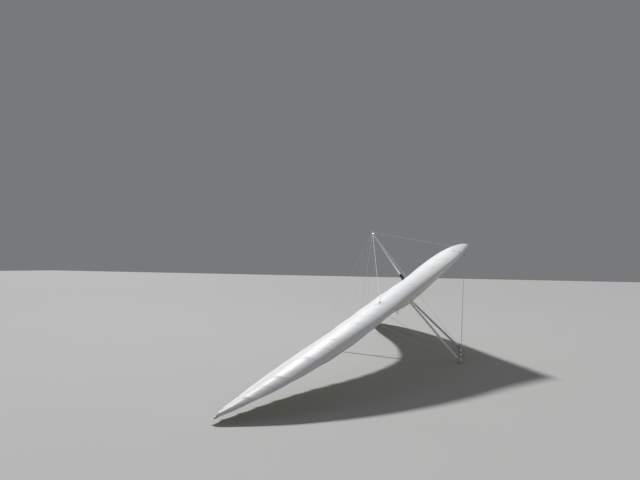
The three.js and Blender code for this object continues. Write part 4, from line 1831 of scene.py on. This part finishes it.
@dataclass
class Kingpost:
    """The kingpost: a moulded foot on the keel, the tube, and the cap that the upper stays pull on.

    Attributes:
        radius: The tube's radius.
        base: The x of its foot.
    """

    radius: float = 0.017
    base: float = -1.296

    def foot(self) -> None:
        """Builds the stepped foot with its cross bolt."""
        base = Vector((self.base, 0.0, 0.0))
        profile = [
            (0.0214, 0.024), (0.024, 0.0258), (0.104, 0.0258), (0.11, 0.0245),
            (0.116, 0.0245), (0.12, 0.0258), (0.156, 0.0258), (0.16, 0.0242),
            (0.205, 0.0228), (0.219, 0.0224), (0.2245, 0.0205), (0.225, 0.0178),
        ]
        shape = Shape().turned(profile, base, UP, 40)
        shape.build("kingpost_foot", BLACK, stands_for=["kingpost_base"])
        pin = Shape()
        for side in Side:
            pin.bolt(base + side.out * 0.0255 + UP * 0.138, side.out, 0.009)
        pin.build("kingpost_foot_bolt", STEEL)

    def tube(self) -> None:
        """Builds the tube with its rivets."""
        low, high = Vector((self.base, 0, 0.2256)), Vector((POINTS.kingpost_top().x, 0, 1.1127))
        tube = Shape().rod(low, high, self.radius, 36, 0.001)
        tube.build("kingpost_tube_drawn", TUBE, stands_for=["kingpost_tube"])
        rivets = Shape()
        profile = [(-0.001, 0.0028), (0.0006, 0.0028), (0.0011, 0.0017)]
        for share in (0.04, 0.96):
            spot = low.lerp(high, share)
            for way in (FORWARD, -FORWARD, LEFTWARD, -LEFTWARD):
                rivets.turned(profile, spot + way * self.radius, way, 12)
        rivets.build("kingpost_rivets", STEEL)

    def cap(self) -> None:
        """Builds the cap, its grooves and its tangs."""
        top = POINTS.kingpost_top()
        profile = [
            (-0.032, 0.0178), (-0.031, 0.0192), (-0.02, 0.0196), (-0.019, 0.0184), (-0.016, 0.0184),
            (-0.015, 0.0198), (0.004, 0.0198), (0.009, 0.0185), (0.0125, 0.0155), (0.0145, 0.0105),
            (0.015, 0.004),
        ]
        cap = Shape().turned(profile, top, UP, 40)
        cap.build("kingpost_cap_moulding", WHITE, stands_for=["kingpost_cap"])
        tangs = Shape()
        sides = [POINTS.side_port(side, True) for side in Side]
        for target in (POINTS.front_port(), POINTS.rear(), *sides):
            tang(tangs, top, target, 0.018, POINTS.tang_reach)
        tangs.build("kingpost_tangs", STEEL)

    def build(self) -> None:
        """Builds the kingpost."""
        self.foot()
        self.tube()
        self.cap()


@dataclass
class ControlFrame:
    """The triangle below the keel: apex bracket, knuckles, downtubes, corner fittings and base bar.

    Attributes:
        chord: The downtube's chord.
        thickness: Its thickness.
        bar: The base bar's radius.
        sleeve: How far a corner fitting reaches in over the bar.
        gap: How far the bar ends from its fitting.
    """

    chord: float = 0.038
    thickness: float = 0.026
    bar: float = 0.015
    sleeve: float = 0.066
    gap: float = 0.0003

    def apex(self) -> None:
        """Builds the bracket: cheeks with holes' rims, a saddle, a block and the through bolt."""
        x, bolt_z = POINTS.apex
        bolt = UP * bolt_z
        shape = Shape()
        cheek = [
            (-0.064, -0.002), (-0.064, -0.03), (-0.04, -0.072), (-0.034, -0.078),
            (0.034, -0.078), (0.04, -0.072), (0.064, -0.03), (0.064, -0.002),
        ]
        rim = [(0.0, 0.0075), (0.0014, 0.0075), (0.0014, 0.005), (0.0004, 0.0045)]
        for side in Side:
            spot = Vector((x, side.value * 0.0255, 0.0))
            face = spot + side.out * 0.0025
            shape.plate(cheek, spot, FORWARD, UP, 0.005)
            for at in (-0.043, 0.043):
                shape.turned(rim, face + Vector((at, 0, -0.026)), side.out, 20)
            shape.bolt(spot + side.out * 0.0485 + bolt, side.out, 0.012)
            shape.rod(face + bolt, spot + side.out * 0.046 + bolt, 0.007, 20)
        shape.plate(slab(0.12, 0.05, 0.004), Vector((x, 0, -0.0245)), FORWARD, LEFTWARD, 0.005)
        shape.plate(slab(0.07, 0.046, 0.004), Vector((x, 0, -0.07)), FORWARD, LEFTWARD, 0.007)
        shape.build("apex_bracket_milled", PLATE, stands_for=["apex_bracket"])
        clamp = Shape()
        for at in (-0.048, 0.048):
            turns = [math.pi * (i / 14 - 0.5) for i in range(15)]
            arc = [Vector((x + at, 0.0225 * math.sin(t), 0.0225 * math.cos(t))) for t in turns]
            clamp.sweep(slab(0.014, 0.002, 0.0008, 2), arc, FORWARD)
        clamp.build("apex_clamps", STEEL)

    def knuckle(self, side: Side) -> None:
        """Builds the moulded knuckle at a downtube's top.

        Args:
            side: Which downtube.
        """
        top, down = POINTS.down(side)
        steps = [
            (-0.017, 0.72), (-0.0155, 0.84), (-0.011, 0.95), (-0.004, 1.0), (0.074, 1.0),
            (0.076, 0.975), (0.079, 0.975), (0.081, 1.0), (0.088, 1.0), (0.0912, 0.97),
        ]
        path = [top + down * d for d, _ in steps]
        shape = Shape().sweep(faired(0.046, 0.033, 14), path, FORWARD, [s for _, s in steps])
        shape.build(f"knuckle_moulding_{side.word}", BLACK, stands_for=[f"downtube_knuckle_{side.word}"])

    def downtube(self, side: Side) -> None:
        """Builds the faired tube and its end rivets.

        Args:
            side: Which downtube.
        """
        top, down = POINTS.down(side)
        length = (POINTS.corner(side) - top).length
        start, end = 0.0923, length - 0.0963
        steps = [start, start + 0.001, (start + end) / 2, end - 0.001, end]
        path = [top + down * d for d in steps]
        outline = faired(self.chord, self.thickness, 16)
        shape = Shape().sweep(outline, path, FORWARD, [0.985, 1.0, 1.0, 1.0, 0.985])
        shape.build(f"downtube_faired_{side.word}", TUBE, stands_for=[f"downtube_{side.word}"])
        rivets = Shape()
        forward, out = square_to(down)
        for at in (start + 0.02, end - 0.02):
            for way in (1, -1):
                spot = top + down * at + forward * 0.006 + out * (way * (self.thickness / 2 - 0.0004))
                rivets.turned([(-0.001, 0.0034), (0.0007, 0.0034), (0.0013, 0.002)], spot, out * way, 14)
        rivets.build(f"downtube_rivets_{side.word}", STEEL)

    def corner(self, side: Side) -> None:
        """Builds the cast corner that joins tube and bar, with its bolts and tangs.

        Args:
            side: Which corner.
        """
        foot = POINTS.corner(side)
        _, down = POINTS.down(side)
        out = side.out
        shape = Shape()
        profile = [
            (-0.066, 0.0172), (-0.0655, 0.0188), (-0.064, 0.0198), (-0.052, 0.0198), (-0.0505, 0.0188),
            (-0.0475, 0.0188), (-0.046, 0.0198), (0.016, 0.0198), (0.02, 0.0185), (0.0216, 0.0165),
            (0.022, 0.013), (0.019, 0.012), (0.0185, 0.004),
        ]
        shape.turned(profile, foot, out, 40)
        steps = [
            (-0.096, 0.955), (-0.0945, 0.985), (-0.092, 1.0), (-0.084, 1.0), (-0.082, 0.975),
            (-0.079, 0.975), (-0.077, 1.0), (-0.03, 0.99), (-0.012, 0.9), (-0.006, 0.82),
        ]
        path = [foot + down * d for d, _ in steps]
        shape.sweep(faired(0.048, 0.034, 14), path, FORWARD, [s for _, s in steps])
        shape.build(f"corner_casting_{side.word}", CAST, stands_for=[f"corner_fitting_{side.word}"])
        metal = Shape()
        _, normal = square_to(down)
        for way in (1, -1):
            metal.bolt(foot - down * 0.05 + normal * (way * 0.0168), normal * way, 0.01)
            metal.bolt(foot - out * 0.035 + Vector((way * 0.0192, 0, 0)), Vector((way, 0, 0)), 0.008)
        for target in (POINTS.nose_catch(), POINTS.rear(), POINTS.side_port(side, False)):
            tang(metal, foot, target, 0.015, POINTS.corner_reach, 0.014)
        metal.build(f"corner_tangs_{side.word}", STEEL)

    def base_bar(self) -> None:
        """Builds the base bar and its grips."""
        corner = POINTS.corner(Side.LEFT)
        half = corner.y - self.sleeve - self.gap
        left, right = Vector((corner.x, half, corner.z)), Vector((corner.x, -half, corner.z))
        Shape().rod(right, left, self.bar, 36, 0.0008).build("base_bar_drawn", TUBE, stands_for=["base_bar"])
        grips = Shape()
        for side in (1, -1):
            profile = [(-0.06, 0.0154), (-0.059, 0.0168)]
            for i in range(14):
                at = -0.056 + i * 0.008
                profile += [(at, 0.0172), (at + 0.0045, 0.0172), (at + 0.0052, 0.0165), (at + 0.0072, 0.0165)]
            profile += [(0.059, 0.0168), (0.06, 0.0154)]
            grips.turned(profile, Vector((corner.x, side * 0.24, corner.z)), LEFTWARD, 32)
        grips.build("base_bar_grips", RUBBER)

    def build(self) -> None:
        """Builds the control frame."""
        self.apex()
        for side in Side:
            self.knuckle(side)
            self.downtube(side)
            self.corner(side)
        self.base_bar()


@dataclass
class Stays:
    """The taut wires above and below the wing, with their swaged terminals, and the thin luff lines.

    Attributes:
        radius: A stay's radius.
        gap: How far a stay ends from what it runs to.
        luff_away: The distances from the keel where luff lines meet the trailing edge.
        hint: A direction that no stay runs along, to turn their outlines by.
    """

    radius: float = 0.002
    gap: float = 0.0003
    luff_away: tuple[float, ...] = (0.76, 1.62, 2.48)
    hint: Vector = field(default_factory=lambda: Vector((1, 0.3, 0.2)))

    def terminal(self, shape: Shape, end: Vector, way: Vector) -> None:
        """Adds a swaged fork that grips a tang: the wire leaves it along a way.

        Args:
            shape: The shape that takes it.
            end: Where the wire ends.
            way: The way.
        """
        profile = [
            (0.016, 0.0036), (0.018, 0.0042), (0.022, 0.0042), (0.0235, 0.0036),
            (0.05, 0.0034), (0.056, 0.0026), (0.0575, 0.0021),
        ]
        shape.turned(profile, end, way, 18)
        across = beside(way)
        normal = way.cross(across)
        for side in (1, -1):
            spot = end + way * 0.003 + normal * (side * 0.0031)
            shape.plate(slab(0.034, 0.009, 0.0042, 5), spot, way, across, 0.0016, 0.0004)
        shape.plate(slab(0.006, 0.009, 0.001), end + way * 0.0175, way, across, 0.0078, 0.0006)
        shape.bolt(end - way * 0.0065 + normal * 0.0038, normal, 0.006)

    def stay(self, place: str, start: Vector, clear: float, end: Vector, end_clear: float,
             forked: bool) -> None:
        """Runs a stay.

        Args:
            place: Which stay it is, as in its name and its node's.
            start: The centre of the fitting where it starts.
            clear: How far from there its wire begins.
            end: Where it ends.
            end_clear: How far from there its wire ends.
            forked: Whether it ends in a terminal too, not in a port.
        """
        way = (end - start).normalized()
        first, last = start + way * (clear + self.gap), end - way * (end_clear + self.gap)
        count = max(int((last - first).length / 0.25), 2)
        path = [first.lerp(last, i / count) for i in range(count + 1)]
        wire = Shape().sweep(circle(self.radius, 12), path, self.hint)
        wire.build(f"stay_{place}", WIRE, stands_for=[f"wire_{place}"])
        ends = Shape()
        self.terminal(ends, first, way)
        if forked:
            self.terminal(ends, last, -way)
        else:
            ends.turned([(0.0, 0.0021), (0.0008, 0.0034), (0.016, 0.003), (0.018, 0.0021)], last, -way, 16)
        ends.build(f"stay_{place}_terminals", STEEL)

    def luff_lines(self) -> None:
        """Runs thin lines from the kingpost's cap to the trailing edge, with their loops."""
        top = POINTS.kingpost_top()
        for side in Side:
            lines, loops = Shape(), Shape()
            for away in self.luff_away:
                y = side.value * away
                foot = WING.point(y, 0.975, True) + Vector((0, 0, 0.012))
                start = top + (foot - top).normalized() * 0.02
                count = 12
                path = [start.lerp(foot, i / count) for i in range(count + 1)]
                lines.sweep(circle(0.0011, 8), path, self.hint)
                arc = []
                for i in range(20):
                    t = 2 * math.pi * i / 20
                    out, low = 0.006 * math.sin(t) * (1 - math.cos(t)) * 0.5, -0.0065 + 0.0065 * math.cos(t)
                    arc.append(foot + Vector((0, out, low)))
                loops.sweep(slab(0.0012, 0.008, 0.0005, 2), arc, UP, loop=True)
                profile = [(-0.012, 0.0016), (-0.01, 0.0026), (0.0, 0.0028), (0.004, 0.0022), (0.005, 0.0012)]
                loops.turned(profile, foot, (top - foot), 12)
            lines.build(f"luff_lines_{side.word}", LINE)
            loops.build(f"luff_loops_{side.word}", TAPE)

    def build(self) -> None:
        """Runs all the stays and lines."""
        top, catch, rear = POINTS.kingpost_top(), POINTS.nose_catch(), POINTS.rear()
        near, low, port = POINTS.tang_reach, POINTS.corner_reach, POINTS.port_depth
        self.stay("top_front", top, near, POINTS.front_port(), port, False)
        self.stay("top_rear", top, near, rear, near, True)
        for side in Side:
            foot, word = POINTS.corner(side), side.word
            self.stay(f"top_side_{word}", top, near, POINTS.side_port(side, True), port, False)
            self.stay(f"bottom_side_{word}", foot, low, POINTS.side_port(side, False), port, False)
            self.stay(f"bottom_front_{word}", foot, low, catch, near, True)
            self.stay(f"bottom_rear_{word}", foot, low, rear, near, True)
        self.luff_lines()


@dataclass
class HangStrap:
    """The webbing band round the keel and the loop that hangs from it, sewn with bar tacks.

    Attributes:
        x: Where the band lies along the keel.
        wall: How thick the doubled webbing is.
    """

    x: float = -RIG.strap_back
    wall: float = 0.004

    def outline(self, top: float, bottom: float, drop: float) -> list[Pair]:
        """The middle line of a band round two circles, the second below the first.

        Args:
            top: The upper circle's radius.
            bottom: The lower one's radius.
            drop: How far below the lower one is.

        Returns:
            The line's points.
        """
        tilt = -math.asin((top - bottom) / drop)
        points = []
        arcs = (
            (top, 0.0, tilt, math.pi - 2 * tilt),
            (bottom, -drop, math.pi - tilt, math.pi + 2 * tilt),
        )
        for radius, low, start, turn in arcs:
            for i in range(25):
                t = start + turn * i / 24
                grow = radius + self.wall / 2
                points.append((grow * math.cos(t), low + grow * math.sin(t)))
        return points

    def tack(self, shape: Shape, spot: Vector, ahead: Vector, wide: Vector, reach: float) -> None:
        """Sews a bar tack through a leg of the webbing: three zigzag rows on each face.

        Args:
            shape: The shape that takes it.
            spot: Its middle.
            ahead: The way along the leg.
            wide: The way across the webbing.
            reach: How far it reaches to each side.
        """
        out = ahead.cross(wide).normalized()
        for side in (1, -1):
            raised = out * (side * (self.wall / 2 + 0.0002))
            for at in (-0.014, 0.0, 0.014):
                zigzag = []
                for i in range(19):
                    shift = wide * (reach * (i / 9 - 1))
                    zigzag.append(spot + ahead * (at + 0.0022 * (-1) ** i) + shift + raised)
                shape.sweep(circle(0.0004, 6), zigzag, out)

    def loop_of(self, path: list[Vector], wide: Vector, width: float, name: str, node: str,
                carried: Matrix) -> None:
        """Sews one closed band of webbing.

        Args:
            path: Its middle line.
            wide: The way across the webbing.
            width: The webbing's width.
            name: The body that it rides on, which starts its pieces' names.
            node: The node that it replaces.
            carried: Where its frame lies.
        """
        fine = []
        for a, b in zip(path, path[1:] + path[:1]):
            pieces = max(int((b - a).length / 0.012), 1)
            fine += [a.lerp(b, i / pieces) for i in range(pieces)]
        outline = slab(width, self.wall, 0.0014, 4)
        shape = Shape().sweep(outline, fine, wide, loop=True)
        shape.build(f"{name}_webbing", STRAP, name, [node], carried)
        tacks = Shape()
        legs = [i for i, spot in enumerate(fine) if abs(spot.z - fine[i - 1].z) > 0.0105]
        for leg in (legs[len(legs) // 4], legs[-len(legs) // 4]):
            ahead = (fine[(leg + 1) % len(fine)] - fine[leg]).normalized()
            self.tack(tacks, fine[leg], ahead, wide, width * 0.42)
        tacks.build(f"{name}_bar_tacks", THREAD, name, (), carried, 80.0)

    def build(self) -> None:
        """Sews the band and the loop."""
        band = [Vector((self.x, y, z)) for y, z in self.outline(0.022, 0.02, 0.066)]
        self.loop_of(band, FORWARD, 0.03, "strap_band", "hang_strap_band", RIG.matrix)
        hang = RIG.matrix @ Vector((self.x, 0.0, -0.088))
        loop = [Vector((x, 0.0, z)) for x, z in self.outline(0.02, 0.011, 0.3)]
        self.loop_of(loop, LEFTWARD, 0.026, "strap_loop", "hang_loop", Matrix.Translation(hang))


# The studio


@dataclass
class Studio:
    """A pale floor, a main light where the sun stands in the photograph, a weak fill, and the camera.

    Attributes:
        eye: The camera's place, measured from the nose.
        heading: How far the view turns left of +Y, in degrees.
        tilt: How far it looks up, in degrees.
        roll: How far it is turned about its own axis, in degrees.
        lens: The focal length in millimetres on a 36 mm sensor.
        sun: The way to the main light.
        softness: How wide it is, in degrees.
        sun_power: How strong it is.
        fill: The way to the overhead light.
        fill_away: How far off that light hangs.
        fill_size: How wide it is.
        fill_power: How strong it is, in watts.
        air: The colour of the room's even light.
        air_power: How strong that light is.
        floor_half: Half the floor's width.
        floor_below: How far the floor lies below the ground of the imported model.
    """

    eye: Vector = field(default_factory=lambda: Vector((-0.1232, -9.8089, -0.379)))
    heading: float = 14.78
    tilt: float = 2.57
    roll: float = 0.84
    lens: float = 30.15
    sun: Vector = field(default_factory=lambda: Vector((-0.43, 0.534, 0.728)))
    softness: float = 6.0
    sun_power: float = 3.25
    fill: Vector = field(default_factory=lambda: Vector((-0.15, 0.25, 0.95)))
    fill_away: float = 13.0
    fill_size: float = 12.0
    fill_power: float = 90.0
    air: Colour = (0.93, 0.96, 1.0)
    air_power: float = 0.2
    floor_half: float = 60.0
    floor_below: float = 0.002

    def floor(self) -> None:
        """Lays the floor."""
        half, z = self.floor_half, -self.floor_below
        corners = [Vector((x * half, y * half, z)) for x, y in ((-1, -1), (1, -1), (1, 1), (-1, 1))]
        mesh = plain_mesh("studio_floor", corners, [(0, 1, 2, 3)])
        mesh.materials.append(FLOOR.material())
        placed("studio_floor", mesh)

    def key_light(self) -> None:
        """Hangs the soft main light."""
        data = bpy.data.lights.new("key_light", "SUN")
        data.angle = math.radians(self.softness)
        data.energy = self.sun_power
        placed("key_light", data).rotation_euler = self.sun.to_track_quat("Z", "Y").to_euler()

    def fill_light(self) -> None:
        """Hangs a wide weak light overhead, which tubes and wires pick up."""
        data = bpy.data.lights.new("fill_light", "AREA")
        data.shape = "SQUARE"
        data.size = self.fill_size
        data.energy = self.fill_power
        lamp, way = placed("fill_light", data), self.fill.normalized()
        lamp.location = way * self.fill_away
        lamp.rotation_euler = way.to_track_quat("Z", "Y").to_euler()

    def surroundings(self) -> None:
        """Fills the room with even pale light and shows colours as they are."""
        world = bpy.data.worlds.new("studio_air")
        world.use_nodes = True
        background = world.node_tree.nodes["Background"]
        background.inputs["Color"].default_value = (*self.air, 1.0)
        background.inputs["Strength"].default_value = self.air_power
        bpy.context.scene.world = world
        bpy.context.scene.view_settings.view_transform = "Standard"

    def camera(self) -> None:
        """Sets up the photograph's view."""
        data = bpy.data.cameras.new("photo_camera")
        data.lens = self.lens
        data.sensor_width = 36.0
        camera = placed("photo_camera", data)
        turn = Matrix.Rotation(math.radians(self.heading), 4, "Z")
        turn = turn @ Matrix.Rotation(math.radians(90 + self.tilt), 4, "X")
        turn = turn @ Matrix.Rotation(math.radians(self.roll), 4, "Z")
        camera.matrix_world = Matrix.Translation(RIG.nose + self.eye) @ turn
        bpy.context.scene.camera = camera

    def build(self) -> None:
        """Sets up the whole studio."""
        self.camera()
        self.floor()
        self.surroundings()
        self.key_light()
        self.fill_light()


def main() -> None:
    """Builds the glider and the studio, logging each piece's number of faces."""
    logging.basicConfig(level=logging.INFO, format="%(name)s %(message)s")
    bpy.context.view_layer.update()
    Studio().build()
    halves = {side: SailHalf(side) for side in Side}
    Keel().build()
    Kingpost().build()
    for half in halves.values():
        half.build()
    SailTrim(halves).build()
    NoseCone(halves).build()
    Nose().build()
    ControlFrame().build()
    Stays().build()
    HangStrap().build()


if __name__ == "__main__":
    main()
